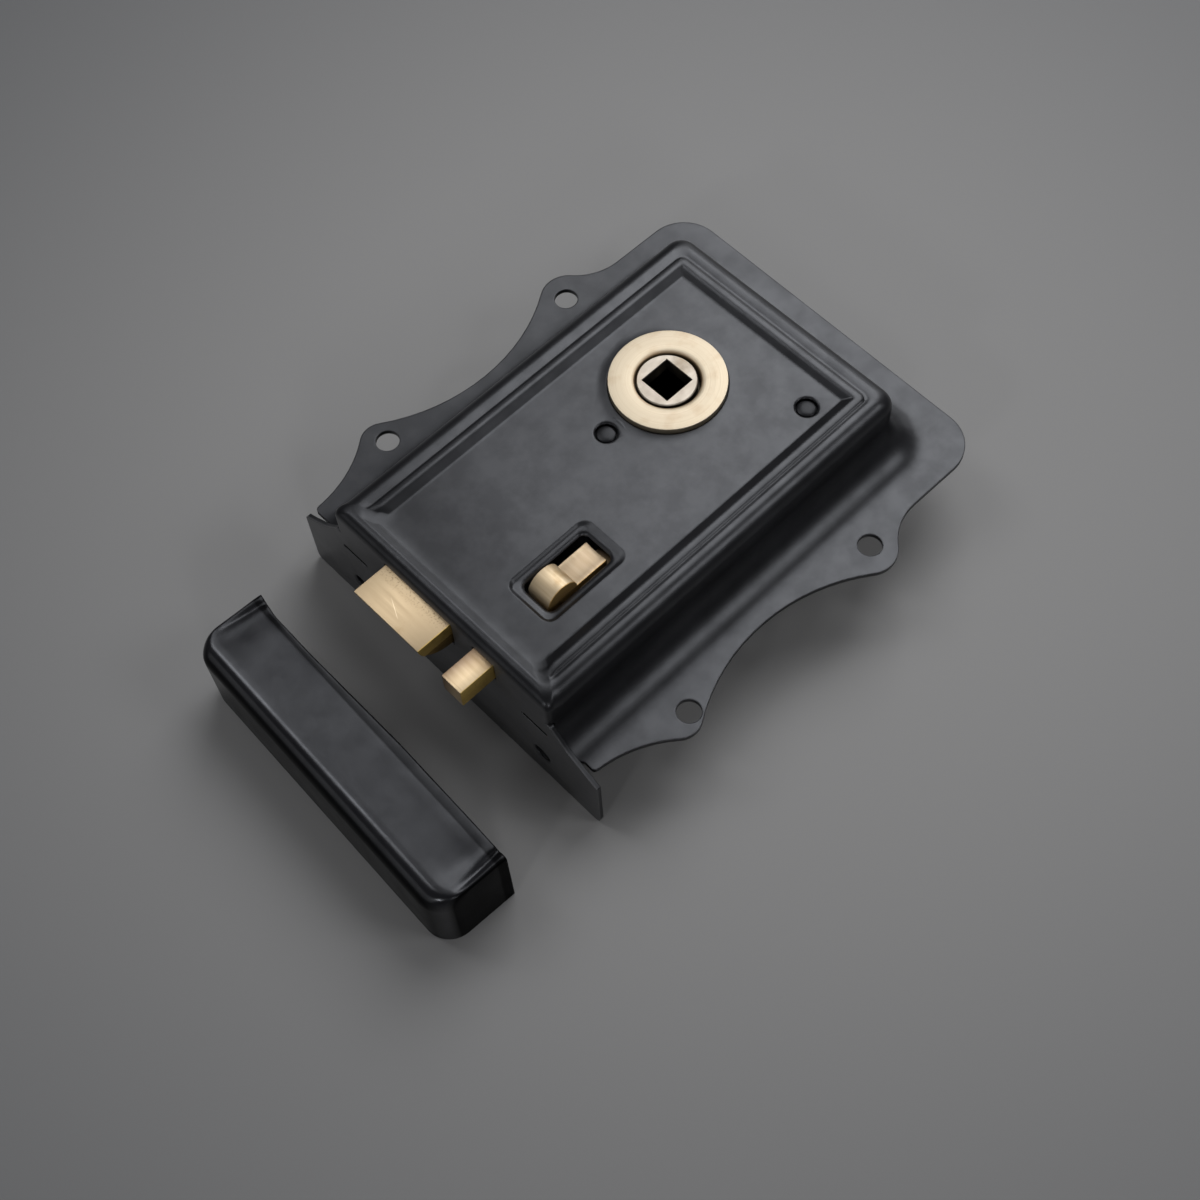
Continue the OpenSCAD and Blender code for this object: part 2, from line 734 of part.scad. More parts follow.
module spring_spigot() {
  color(STEEL) translate([latch_back, front_pillar_y, spring_z]) rotate([0, 90, 0]) {
    translate([0, 0, -spigot_len]) cylinder(d = spigot_d, h = spigot_len);
    translate([0, 0, -seat]) cylinder(d = spigot_shank_d, h = spigot_shank_len + seat);
  }
}

// Points of the coil: one ring of the wire for each step along the helix
coil_steps = coil_turns * coil_rings;
coil_pitch = (coil_x1 - coil_x0) / coil_turns;
function coil_centre(i) = let (a = 360 * i / coil_rings)
  [coil_x0 + coil_pitch * i / coil_rings,
   front_pillar_y + coil_d / 2 * cos(a),
   spring_z + coil_d / 2 * sin(a)];
function coil_point(i, k) = let (a = 360 * i / coil_rings, b = 360 * k / coil_sides)
  coil_centre(i) + wire_d / 2 * (cos(b) * [0, cos(a), sin(a)] + sin(b) * [1, 0, 0]);
coil_gap = min([for (i = [0 : coil_steps - coil_rings])
  norm(coil_centre(i + coil_rings) - coil_centre(i))]) - wire_d;
echo(least_gap_between_coils = coil_gap);

module latch_spring() {
  points = [for (i = [0 : coil_steps], k = [0 : coil_sides - 1]) coil_point(i, k)];
  last = coil_steps * coil_sides;
  sides = [for (i = [0 : coil_steps - 1], k = [0 : coil_sides - 1]) let (
    a = i * coil_sides + k, b = i * coil_sides + (k + 1) % coil_sides, c = a + coil_sides, d = b + coil_sides)
    each [[a, b, d], [a, d, c]]];
  ends = [for (k = [1 : coil_sides - 2]) each [[0, k + 1, k], [last, last + k, last + k + 1]]];
  color(STEEL) polyhedron(points, concat(sides, ends));
}

// Snib bolt: full height at the front, a thinner bar under the thumb piece and through the strap
module snib_bolt() {
  color(BRASS) difference() {
    along_y(snib_y - snib_w / 2, snib_y + snib_w / 2) difference() {
      union() {
        area([snib_shoulder, snib_z], [snib_tip, snib_top]);
        area([snib_back, snib_z], [snib_shoulder + over, thumb_z]);
      }
      for (x = [leaf_x, leaf_x + snib_travel]) translate([x, snib_z - notch_r + notch_deep]) circle(notch_r);
    }
    post(thumb_x, snib_rivet_y, small_rivet_d + seat, snib_z - over, snib_top + over);
  }
}

module snib_thumb() {
  color(BRASS) difference() {
    along_y(thumb_y - thumb_w / 2, thumb_y + thumb_w / 2) {
      area([slide_back, thumb_z], [slide_front, thumb_plate_top]);
      intersection() {
        translate([thumb_x, thumb_plate_top]) circle(thumb_r);
        area([slide_back, thumb_z], [slide_front, thumb_plate_top + thumb_r]);
      }
    }
    translate([slide_back - over, thumb_y, thumb_plate_top + trough_r - trough_deep]) rotate([0, 90, 0])
      cylinder(r = trough_r, h = slide_front - 2 * thumb_r - slide_back + over, $fn = fine);
    post(thumb_x, snib_rivet_y, small_rivet_d + seat, thumb_z - over, thumb_z + snib_rivet_grip + seat);
  }
}
module snib_rivet() {
  color(STEEL) post(thumb_x, snib_rivet_y, small_rivet_d, snib_z, thumb_z + snib_rivet_grip);
}

// Strap over the tail of the snib bolt, with two feet on the back plate
module snib_keeper() {
  top = thumb_z + clear;
  color(STEEL) difference() {
    along_x(keeper_x - keeper_w / 2, keeper_x + keeper_w / 2) translate([snib_y, 0]) {
      area([-keeper_half - keeper_t, top], [keeper_half + keeper_t, top + keeper_t]);
      for (s = [0, 1]) mirror([s, 0]) {
        area([keeper_half, plate_top], [keeper_half + keeper_t, top + keeper_t]);
        area([keeper_half, plate_top], [keeper_half + keeper_t + keeper_foot, plate_top + keeper_t]);
      }
    }
    for (y = keeper_rivet_ys)
      post(keeper_x, y, small_rivet_d + seat, plate_top - over, plate_top + keeper_t + over);
  }
}

// Rivet with a head on each side of a stack that starts at the underside of the back plate
module plate_rivet(x, y, stack_t) {
  color(STEEL) {
    post(x, y, small_rivet_d, plate_z - seat, plate_top + stack_t + seat);
    post(x, y, small_head_d, plate_z - rivet_head_t, plate_z);
    post(x, y, small_head_d, plate_top + stack_t, plate_top + stack_t + rivet_head_t);
  }
}
module snib_keeper_rivets() {
  for (y = keeper_rivet_ys) plate_rivet(keeper_x, y, keeper_t);
}

// Bowed leaf that bears up under the snib bolt
module snib_spring() {
  color(STEEL) difference() {
    along_y(snib_y - leaf_w / 2, snib_y + leaf_w / 2) {
      area([leaf_x - leaf_half - leaf_foot, plate_top], [leaf_x - leaf_half + leaf_t, plate_top + leaf_t]);
      intersection() {
        area([leaf_x - leaf_half, plate_top], [leaf_x + leaf_half, snib_z]);
        translate([leaf_x, plate_top + leaf_rise - leaf_r]) difference() {
          circle(leaf_r, $fn = fine);
          circle(leaf_r - leaf_t, $fn = fine);
        }
      }
    }
    post(leaf_rivet_x, snib_y, small_rivet_d + seat, plate_top - over, plate_top + leaf_t + over);
  }
}
module snib_spring_rivet() { plate_rivet(leaf_rivet_x, snib_y, leaf_t); }

// Box of the keep, one sheet inside its outside if inset is set, open at the mouth and below
module keep_box(inset, past) {
  half = keep_len / 2 - inset;
  deep = keep_depth - inset;
  top = keep_h - inset;
  corner = max(keep_least_r, keep_corner_r - inset);
  edge = max(keep_least_r, keep_edge_r - inset);
  intersection() {
    translate([0, 0, -past]) linear_extrude(top + past) {
      area([-past, -half], [deep - corner, half]);
      area([-past, -half + corner], [deep, half - corner]);
      for (y = [-half + corner, half - corner]) translate([deep - corner, y]) circle(corner);
    }
    along_y(-half, half) {
      area([-past, -past], [deep - edge, top]);
      area([-past, -past], [deep, top - edge]);
      translate([deep - edge, top - edge]) circle(edge);
    }
    translate([0, 0, -past]) along_x(-past, deep) arch(half, top + past, edge);
  }
}
module keep() {
  color(STEEL_BLACK) translate([forend_x + keep_gap, keep_y, -lip_h]) rotate([0, 0, -keep_turn]) {
    difference() {
      keep_box(0, 0);
      keep_box(sheet, over);
    }
    difference() {
      intersection() {
        keep_box(sheet / 2, 0);
        translate([keep_depth - sheet - keep_flange_w, -keep_len, 0])
          cube([keep_flange_w + sheet, 2 * keep_len, sheet]);
      }
      for (s = [-1, 1])
        post(keep_depth - sheet - keep_hole_in, s * keep_hole_dy / 2, keep_hole_d, -over, sheet + over);
    }
  }
}

case();
back_plate();
back_plate_screws();
front_pillar();
rear_pillar();
follower_ring();
follower_bush();
follower();
latch_bolt();
latch_tail();
latch_tail_rivets();
spring_spigot();
latch_spring();
snib_bolt();
snib_thumb();
snib_rivet();
snib_keeper();
snib_keeper_rivets();
snib_spring();
snib_spring_rivet();
keep();
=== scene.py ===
"""Looks of a rim box lock: a pressed black case, brass bolts and ring, and its loose box keep."""

import math

import bmesh
import bpy
from mathutils import Matrix, Vector


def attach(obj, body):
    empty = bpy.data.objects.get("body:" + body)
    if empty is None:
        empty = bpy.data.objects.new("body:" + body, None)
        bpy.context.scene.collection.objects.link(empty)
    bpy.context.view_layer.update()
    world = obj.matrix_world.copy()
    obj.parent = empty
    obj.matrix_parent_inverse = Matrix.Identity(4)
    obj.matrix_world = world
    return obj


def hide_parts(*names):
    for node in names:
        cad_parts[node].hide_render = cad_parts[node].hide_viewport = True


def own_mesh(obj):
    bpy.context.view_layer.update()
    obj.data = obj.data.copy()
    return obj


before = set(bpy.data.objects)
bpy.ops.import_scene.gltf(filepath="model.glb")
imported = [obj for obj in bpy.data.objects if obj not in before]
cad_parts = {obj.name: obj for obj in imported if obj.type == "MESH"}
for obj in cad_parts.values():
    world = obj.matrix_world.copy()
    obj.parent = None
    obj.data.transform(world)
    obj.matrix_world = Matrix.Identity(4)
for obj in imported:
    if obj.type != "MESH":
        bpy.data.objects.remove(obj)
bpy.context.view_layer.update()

# Sizes that several pieces share, in millimetres in the frame of the CAD model
MM = 0.001
SHEET = 1.2
ROUND_STEPS = 6
FLOOR_Z = -19.0
RING = (-20.44, -5.57)
RIVETS = {"front_pillar": (-1.0, -6.1), "rear_pillar": (-38.0, 21.65)}
KEEP_TURN = 2.3


# Tools

def at(x, y, z):
    """A place given in millimetres."""
    return Vector((x, y, z)) * MM


def line(bm, points):
    """Edges from point to point."""
    verts = [bm.verts.new(at(*p)) for p in points]
    return [bm.edges.new(pair) for pair in zip(verts, verts[1:])]


def rounded_line(bm, corners, closed=True, steps=ROUND_STEPS):
    """Edges through a few corners, each given as x, y, z and its rounding."""
    known = set(bm.edges)
    verts = [bm.verts.new(at(*c[:3])) for c in corners]
    ends = verts[1:] + (verts[:1] if closed else [])
    for pair in zip(verts, ends):
        bm.edges.new(pair)
    for vert, corner in zip(verts, corners):
        if corner[3]:
            bmesh.ops.bevel(bm, geom=[vert], offset=corner[3] * MM, offset_type="OFFSET", affect="VERTICES",
                            segments=steps, profile=0.5, material=-1)
    return [e for e in bm.edges if e not in known]


def circle(bm, x, y, z, radius, axis="Z", segments=48):
    """A ring of edges round an axis."""
    turn = Matrix.Rotation(math.radians(90), 4, "Y") if axis == "X" else Matrix()
    made = bmesh.ops.create_circle(bm, cap_ends=False, segments=segments, radius=radius * MM,
                                   matrix=Matrix.Translation(at(x, y, z)) @ turn)
    return list({e for v in made["verts"] for e in v.link_edges})


def skin(bm, rows):
    """A surface from each row of edges to the next."""
    for near, far in zip(rows, rows[1:]):
        bmesh.ops.bridge_loops(bm, edges=near + far)


def row_ends(row):
    """The first and last vertex of an open row of edges."""
    return {v for e in row for v in e.verts if len([x for x in v.link_edges if x in row]) == 1}


def flat(bm, *rows):
    """A flat face between rows of edges, with its holes."""
    edges = [e for row in rows for e in row]
    return bmesh.ops.triangle_fill(bm, use_beauty=True, use_dissolve=False, edges=edges)


def swing(bm, vert, centre, degrees, axis=(0, 0, 1), steps=16):
    """Carries a line on from a vertex along an arc, and gives the arc's last vertex."""
    made = bmesh.ops.spin(bm, geom=[vert], cent=at(*centre), axis=axis, dvec=(0, 0, 0),
                          angle=math.radians(degrees), steps=steps, use_merge=False)
    return next(g for g in made["geom_last"] if isinstance(g, bmesh.types.BMVert))


def move(bm, verts, matrix):
    """Moves, turns or stretches vertices."""
    bmesh.ops.transform(bm, matrix=matrix, verts=verts)


def bar(bm, edges, step):
    """A bar drawn from a closed outline."""
    made = bmesh.ops.edgeloop_fill(bm, edges=edges)
    grown = bmesh.ops.extrude_face_region(bm, geom=made["faces"])
    move(bm, [g for g in grown["geom"] if isinstance(g, bmesh.types.BMVert)], Matrix.Translation(step))


def soften(bm, width):
    """Rounds every sharp edge."""
    limit = math.radians(40)
    sharp = [e for e in bm.edges if len(e.link_faces) == 2 and e.calc_face_angle() > limit]
    bmesh.ops.bevel(bm, geom=sharp, offset=width * MM, offset_type="OFFSET", affect="EDGES",
                    segments=2, profile=0.5, material=-1, clamp_overlap=True)


def settle(bm, up=False):
    """Merges doubles and turns the faces outwards, or the largest level face up."""
    bmesh.ops.remove_doubles(bm, verts=bm.verts, dist=0.002 * MM)
    bmesh.ops.delete(bm, geom=[e for e in bm.edges if not e.link_faces], context="EDGES")
    bmesh.ops.recalc_face_normals(bm, faces=bm.faces)
    if up and max(bm.faces, key=lambda f: abs(f.normal.z) * f.calc_area()).normal.z < 0:
        bmesh.ops.reverse_faces(bm, faces=bm.faces)


def piece(bm, name, body, node, material, sharp=35):
    """Makes a bmesh a piece that rides on a body and stands for a CAD node."""
    mesh = bpy.data.meshes.new(name)
    bm.to_mesh(mesh)
    bm.free()
    mesh.shade_smooth()
    if sharp:
        mesh.set_sharp_from_angle(angle=math.radians(sharp))
    obj = bpy.data.objects.new(name, mesh)
    bpy.context.scene.collection.objects.link(obj)
    mesh.materials.append(material)
    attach(obj, body)
    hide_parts(node)
    return obj


def sheet_metal(obj, edge=0.2):
    """Gives a pressed surface the thickness of its sheet, with its cut edges just broken."""
    wall = obj.modifiers.new("sheet", "SOLIDIFY")
    wall.thickness = SHEET * MM
    wall.offset = -1
    cut = obj.modifiers.new("cut_edges", "BEVEL")
    cut.width = edge * MM
    cut.segments = 2
    cut.limit_method = "ANGLE"
    cut.angle_limit = math.radians(55)
    cut.harden_normals = True
    flow = obj.modifiers.new("flow", "WEIGHTED_NORMAL")
    flow.keep_sharp = True


# Finishes

class Finish:
    """A material and short ways to add nodes to it."""

    def __init__(self, name, colour, roughness, metallic=0.0):
        self.material = bpy.data.materials.new(name)
        self.material.use_nodes = True
        self.nodes = self.material.node_tree.nodes
        self.links = self.material.node_tree.links
        self.shader = self.nodes["Principled BSDF"]
        self.shader.inputs["Base Color"].default_value = (*colour, 1)
        self.shader.inputs["Roughness"].default_value = roughness
        self.shader.inputs["Metallic"].default_value = metallic
        self.place = self.nodes.new("ShaderNodeTexCoord").outputs["Object"]

    def join(self, source, target):
        """Links one socket to another."""
        self.links.new(source, target)

    def mapped(self, scale=(1, 1, 1), shift=(0, 0, 0), turn=(0, 0, 0)):
        """The place on the piece, stretched, turned and shifted."""
        node = self.nodes.new("ShaderNodeMapping")
        node.inputs["Scale"].default_value = scale
        node.inputs["Location"].default_value = shift
        node.inputs["Rotation"].default_value = turn
        self.join(self.place, node.inputs["Vector"])
        return node.outputs["Vector"]

    def noise(self, scale, detail=3.0, vector=None, rough=0.5):
        """Cloudy values between 0 and 1."""
        node = self.nodes.new("ShaderNodeTexNoise")
        node.inputs["Scale"].default_value = scale
        node.inputs["Detail"].default_value = detail
        node.inputs["Roughness"].default_value = rough
        self.join(vector or self.place, node.inputs["Vector"])
        return node.outputs["Fac"]

    def along(self, axis, start, end, vector=None):
        """Share from 0 to 1 of the way from start to end, in millimetres along an axis."""
        split = self.nodes.new("ShaderNodeSeparateXYZ")
        self.join(vector or self.place, split.inputs[0])
        node = self.nodes.new("ShaderNodeMapRange")
        node.inputs["From Min"].default_value = start * MM
        node.inputs["From Max"].default_value = end * MM
        self.join(split.outputs[axis], node.inputs["Value"])
        return node.outputs["Result"]

    def away(self, centre, near, far):
        """Share that grows smoothly from 0 to 1 with the distance from a place on the floor, in metres."""
        length = self.nodes.new("ShaderNodeVectorMath")
        length.operation = "LENGTH"
        self.join(self.mapped((1, 1, 0), (-centre[0], -centre[1], 0)), length.inputs[0])
        node = self.nodes.new("ShaderNodeMapRange")
        node.interpolation_type = "SMOOTHSTEP"
        node.inputs["From Min"].default_value = near
        node.inputs["From Max"].default_value = far
        self.join(length.outputs["Value"], node.inputs["Value"])
        return node.outputs["Result"]

    def stroke(self, start, end, width):
        """Share that is 1 on a thin line between two places, in millimetres."""
        way = Vector(end) - Vector(start)
        angle = -math.atan2(way.y, way.x)
        shift = -(Matrix.Rotation(angle, 2) @ Vector(start)) * MM
        turned = self.mapped(shift=(*shift, 0), turn=(0, 0, angle))
        share = self.sums("MULTIPLY", self.along(1, -width, 0, turned), self.along(1, width, 0, turned))
        share = self.sums("MULTIPLY", share, self.along(0, 0, way.length / 3, turned))
        return self.sums("MULTIPLY", share, self.along(0, way.length, way.length * 0.8, turned))

    def ramp(self, value, low, high, start=0.35, end=0.65):
        """Turns a value into a colour between two, over a part of its range."""
        node = self.nodes.new("ShaderNodeValToRGB")
        first, last = node.color_ramp.elements
        first.position, last.position = start, end
        first.color = (*low, 1) if isinstance(low, tuple) else (low, low, low, 1)
        last.color = (*high, 1) if isinstance(high, tuple) else (high, high, high, 1)
        self.join(value, node.inputs["Fac"])
        return node.outputs["Color"]

    def blend(self, share, first, second):
        """Mixes two colours by a share."""
        node = self.nodes.new("ShaderNodeMix")
        node.data_type = "RGBA"
        # A mix node has sockets for every kind of data, and these are the ones for colours
        share_socket, first_socket, second_socket = (node.inputs[k] for k in (0, 6, 7))
        for socket, source in ((share_socket, share), (first_socket, first), (second_socket, second)):
            if isinstance(source, (int, float)):
                socket.default_value = source
            elif isinstance(source, tuple):
                socket.default_value = (*source, 1)
            else:
                self.join(source, socket)
        return node.outputs[2]

    def sums(self, kind, first, second=0.0):
        """One sum with two values."""
        node = self.nodes.new("ShaderNodeMath")
        node.operation = kind
        for socket, source in zip(node.inputs, (first, second)):
            if isinstance(source, (int, float)):
                socket.default_value = source
            else:
                self.join(source, socket)
        return node.outputs[0]

    def relief(self, height, strength, depth, edge=0.0):
        """Fine relief, and edges that catch the light as if rounded by this much."""
        node = self.nodes.new("ShaderNodeBump")
        if edge:
            rounded = self.nodes.new("ShaderNodeBevel")
            rounded.samples = 6
            rounded.inputs["Radius"].default_value = edge * MM
            self.join(rounded.outputs["Normal"], node.inputs["Normal"])
        node.inputs["Strength"].default_value = strength
        node.inputs["Distance"].default_value = depth * MM
        self.join(height, node.inputs["Height"])
        self.join(node.outputs["Normal"], self.shader.inputs["Normal"])

    def set(self, name, source):
        """Feeds an input of the shader."""
        self.join(source, self.shader.inputs[name])


def enamel(name, dark, light, smooth, rough, shine=1.42, peel=0.03, zones=(), shade_zones=()):
    """Black stoving enamel: a faint cloudiness, an uneven gloss and a fine orange peel.

    A zone paints its colour over a span: axis, start and end. A painted-shade zone is painted shade: by its
    share it takes the colour towards black and the gloss away, over its spans: axis, start and end, as the
    keep lies.
    """
    f = Finish(name, dark, rough)
    tone = f.ramp(f.noise(55, 4), dark, light)
    for axis, start, end, colour in zones:
        tone = f.blend(f.along(axis, start, end), tone, colour)
    gloss = f.ramp(f.noise(150, 6, rough=0.62), 0.435, 0.565, 0.38, 0.62)
    turned = f.mapped(turn=(0, 0, math.radians(KEEP_TURN)))
    for shade_depth, *spans in shade_zones:
        share = shade_depth
        for span in spans:
            share = f.sums("MULTIPLY", share, f.along(*span, turned))
        # Painted shade: the colour goes towards black, and the gloss falls, by the zone's share
        tone = f.blend(share, tone, (0.001, 0.001, 0.001))
        gloss = f.sums("MULTIPLY", gloss, f.sums("SUBTRACT", 1.0, share))
    f.set("Specular IOR Level", gloss)
    f.set("Base Color", tone)
    f.set("Roughness", f.ramp(f.noise(160, 5), smooth, rough, 0.3, 0.7))
    grain = f.noise(1500, 2)
    wave = f.noise(130, 2)
    f.relief(f.sums("ADD", f.sums("MULTIPLY", grain, 0.12), wave), 0.2, peel, edge=0.45)
    f.shader.inputs["IOR"].default_value = shine
    f.shader.inputs["Specular Tint"].default_value = (0.93, 0.95, 1.0, 1.0)
    return f.material


def brushed_brass(name, pale, brown, stretch, tarnish=0.55, streaks=0.3, zones=(), specks=None, scratch=None,
                  rough=0.42):
    """Brass with brush lines, brown where the lacquer has toned, with colour zones, some of them painted
    light or painted shade on one face, dark specks and a scratch.
    """
    f = Finish(name, pale, 0.3, 1.0)
    lines = f.noise(1, 3, f.mapped(stretch), 0.6)
    toned = f.ramp(f.noise(170, 4), 0.0, 1.0, tarnish, tarnish + 0.22)
    tone = f.blend(toned, pale, brown)
    for axis, start, end, colour in zones:
        tone = f.blend(f.along(axis, start, end), tone, colour)
    if specks:
        spots = f.ramp(f.noise(2000, 4), 0.0, 0.6, 0.54, 0.68)
        tone = f.blend(f.sums("MULTIPLY", spots, f.along(*specks)), tone, (0.10, 0.06, 0.022))
    tone = f.blend(f.ramp(lines, 0.0, streaks, 0.35, 0.8), tone, brown)
    if scratch:
        tone = f.blend(f.sums("MULTIPLY", f.stroke(*scratch), 0.5), tone, (0.95, 0.82, 0.60))
    f.set("Base Color", tone)
    f.set("Roughness", f.ramp(lines, rough, rough + 0.12, 0.3, 0.7))
    f.relief(lines, 0.2, 0.02)
    return f.material


def turned_brass(name, pale, brown, inner, outer):
    """Brass turned on a lathe: fine rings, and brown towards the bore as painted shade on its rounded inner
    edge.
    """
    f = Finish(name, pale, 0.32, 1.0)
    centred = f.mapped(shift=(-RING[0] * MM, -RING[1] * MM, 0))
    split = f.nodes.new("ShaderNodeSeparateXYZ")
    f.join(centred, split.inputs[0])
    square = f.sums("ADD", f.sums("MULTIPLY", split.outputs[0], split.outputs[0]),
                    f.sums("MULTIPLY", split.outputs[1], split.outputs[1]))
    radius = f.sums("SQRT", square)
    rings = f.nodes.new("ShaderNodeTexNoise")
    rings.noise_dimensions = "1D"
    rings.inputs["Scale"].default_value = 3500
    rings.inputs["Detail"].default_value = 2
    f.join(radius, rings.inputs["W"])
    share = f.sums("DIVIDE", f.sums("SUBTRACT", radius, inner * MM), (outer - inner) * MM)
    # Painted shade: brown at the inner radius, going to pale at the outer one
    bore = f.ramp(share, brown, pale, 0.0, 1.0)
    patch = f.ramp(f.noise(220, 4), 0.0, 0.35, 0.5, 0.75)
    f.set("Base Color", f.blend(patch, bore, brown))
    f.set("Roughness", f.ramp(rings.outputs["Fac"], 0.50, 0.60, 0.3, 0.7))
    f.relief(rings.outputs["Fac"], 0.18, 0.02)
    return f.material


def plated_steel(name, colour, shade, smooth, rough, shade_from=None):
    """Zinc plate or bare spring steel: a spangled tone and rolling lines, painted black in front of an x as
    painted shade where it shows through the forend's openings.
    """
    f = Finish(name, colour, rough, 1.0)
    spangle = f.noise(420, 4)
    rolled = f.noise(1, 2, f.mapped((90, 1900, 1900)), 0.6)
    tone = f.ramp(spangle, shade, colour, 0.3, 0.7)
    if shade_from:
        # Painted shade: black and without gloss in front of this x
        share = f.along(0, shade_from, shade_from + 0.5)
        tone = f.blend(share, tone, (0.002, 0.002, 0.002))
        f.set("Metallic", f.sums("SUBTRACT", 1.0, share))
        f.shader.inputs["Specular IOR Level"].default_value = 0.0
    f.set("Base Color", tone)
    f.set("Roughness", f.ramp(rolled, smooth, rough, 0.3, 0.7))
    f.relief(rolled, 0.15, 0.03)
    return f.material


case_black = enamel("case_black", (0.004, 0.004, 0.0045), (0.007, 0.007, 0.008), 0.32, 0.37,
                    # Painted light: in front of x 56.2 the forend's face is painted a lighter grey than the
                    # rest of the enamel, as if lit from the front
                    zones=[(0, 56.2, 56.6, (0.045, 0.045, 0.046))],
                    # Painted shade: over the front of the panel and rim the colour and gloss fall by 0.28,
                    # darkening their reflection
                    shade_zones=[(0.28, (0, 25, 44), (2, 17.2, 18.6))])
# Painted shade on the keep: the near end, a band along the mouth and the outer wall are painted darker and
# lose gloss, standing in for the shade and dark reflections on them
keep_black = enamel("keep_black", (0.004, 0.004, 0.0047), (0.006, 0.006, 0.007), 0.20, 0.26,
                    shade_zones=[(0.95, (1, 50.2, 50.9)), (0.7, (0, 82.5, 82.0)), (0.88, (0, 96.8, 98.6))])
rivet_black = enamel("rivet_black", (0.004, 0.004, 0.0045), (0.008, 0.008, 0.009), 0.30, 0.42, shine=1.28,
                     peel=0.12)
PALE_BRASS = (0.70, 0.55, 0.36)
BROWN_BRASS = (0.33, 0.22, 0.10)
# Painted light: from y 4.2 the +y face is painted a bright gold, as lit from that side. Painted shade: below
# z 11.8 the lower half is painted dark brown, shaded under the upper half
latch_brass = brushed_brass("latch_brass", (0.48, 0.37, 0.235), BROWN_BRASS, (900, 60, 900), 0.62, 0.12,
                            [(1, 4.0, 4.2, (0.68, 0.48, 0.14)), (2, 12.6, 11.8, (0.32, 0.21, 0.07))],
                            specks=(0, 60.0, 57.4), scratch=((61.0, -10.3), (63.8, -4.7), 0.13))
# The snib is browner towards the rear and towards the -y side. Painted light: from y 17.95 the +y face is
# painted a bright gold, as lit from that side
snib_brass = brushed_brass("snib_brass", (0.76, 0.60, 0.39), BROWN_BRASS, (1400, 60, 1400), 0.72, 0.35,
                           [(0, 62.5, 57.5, (0.42, 0.31, 0.19)), (1, 15.8, 12.0, (0.27, 0.19, 0.13)),
                            (1, 17.7, 17.95, (0.68, 0.48, 0.14))])
# Painted shade: behind x 29.8 the slide is painted a darker brass, and from y 16.8 the +y face is painted a
# dark brown
thumb_brass = brushed_brass("thumb_brass", (0.52, 0.42, 0.285), BROWN_BRASS, (1400, 60, 1400), 0.58, 0.25,
                            [(0, 30.4, 29.8, (0.395, 0.31, 0.213)), (1, 16.6, 16.8, (0.40, 0.26, 0.10))],
                            rough=0.52)
ring_brass = turned_brass("ring_brass", (0.41, 0.35, 0.262), (0.25, 0.16, 0.08), 7.6, 8.5)
# Painted shade: below z 19.9 the follower is painted nearly black, in its square hole and in the gap round
# it
follower_brass = brushed_brass("follower_brass", (0.285, 0.253, 0.213), (0.20, 0.16, 0.115), (300, 500, 300),
                               zones=[(2, 20.2, 19.9, (0.03, 0.028, 0.022))])
bush_brass = brushed_brass("bush_brass", PALE_BRASS, BROWN_BRASS, (400, 400, 60))
zinc = plated_steel("zinc", (0.62, 0.63, 0.64), (0.46, 0.47, 0.48), 0.28, 0.44, shade_from=54.6)
spring_steel = plated_steel("spring_steel", (0.42, 0.43, 0.44), (0.30, 0.31, 0.33), 0.22, 0.36)


# Case: one pressed surface, which gets its thickness at the end

CASE_BACK = -54.9
CASE_HALF = 35.3
CORNER_ROUND = 4.2
FRONT_ROUND = 1.8
SHOULDER = 3.9
SHOULDER_Z = 15.75
FRONT_SHOULDER = 2.95
COVE_RADIUS = 10
COVE_Z = 11.15
PANEL_Z = 18.7
PANEL_SHIFT = 0.5
DISH_Z = 17.9
SLOT_X = (20.3, 39.9)
SLOT_Y = (8.7, 18.5)
FOREND_X = 56.7
FOREND_TOP = 16.95
FOREND_CORNER_Z = 10.9
LIP_HOLE_Y, LIP_HOLE_Z = 31, -10
HOLE_X, HOLE_Y = 29.65, 50.65
HOLE_RADIUS = 2.9
FLANGE_TURN = -0.8
FLANGE_SHIFT = -0.35
FLANGE_FRONT_ROUND = 1.2
# Before the front corners, the rim fades into the front over this stretch
FADE_START, FADE_END = 2.2, 0.3
# Where the cove's foot stops, so that the relief slit stays open
SLIT_X = 54.35


def rim_row(bm, width, rear, front, side_z, front_z, rear_round, front_round, shift=0.0):
    """One closed row of the moulded rim. Along the sides it fades to the front's height near the front."""
    left, right = shift - width, shift + width
    fade_in = front - front_round - FADE_START
    fade_out = front - front_round - FADE_END
    return rounded_line(bm, [
        (rear, left, side_z, rear_round),
        (fade_in, left, side_z, 0),
        (fade_out, left, front_z, 0),
        (front, left, front_z, front_round),
        (front, right, front_z, front_round),
        (fade_out, right, front_z, 0),
        (fade_in, right, side_z, 0),
        (rear, right, side_z, rear_round)])


def cove_row(bm, width, rear, front, z, rear_round):
    """One row of the wall and cove, open towards the forend."""
    near, mid = front - FADE_END, front - FADE_START
    return rounded_line(bm, [
        (front, -width, z, 0), (near, -width, z, 0), (mid, -width, z, 0),
        (rear, -width, z, rear_round), (rear, width, z, rear_round),
        (mid, width, z, 0), (near, width, z, 0), (front, width, z, 0)], closed=False)


def slot_row(bm, grow, z, ends=0.0, sides=0.0, rounding=1.5, rear=0.0, rise=0.0):
    """A row round the thumb piece's slot, grown by this much, with its rear drawn in and raised."""
    x0, x1 = SLOT_X[0] - ends - grow + rear, SLOT_X[1] + ends + grow
    y0, y1 = SLOT_Y[0] - sides - grow, SLOT_Y[1] + sides + grow
    r = rounding + grow
    return rounded_line(bm, [(x0, y0, z + rise, r), (x1, y0, z, r), (x1, y1, z, r), (x0, y1, z + rise, r)])


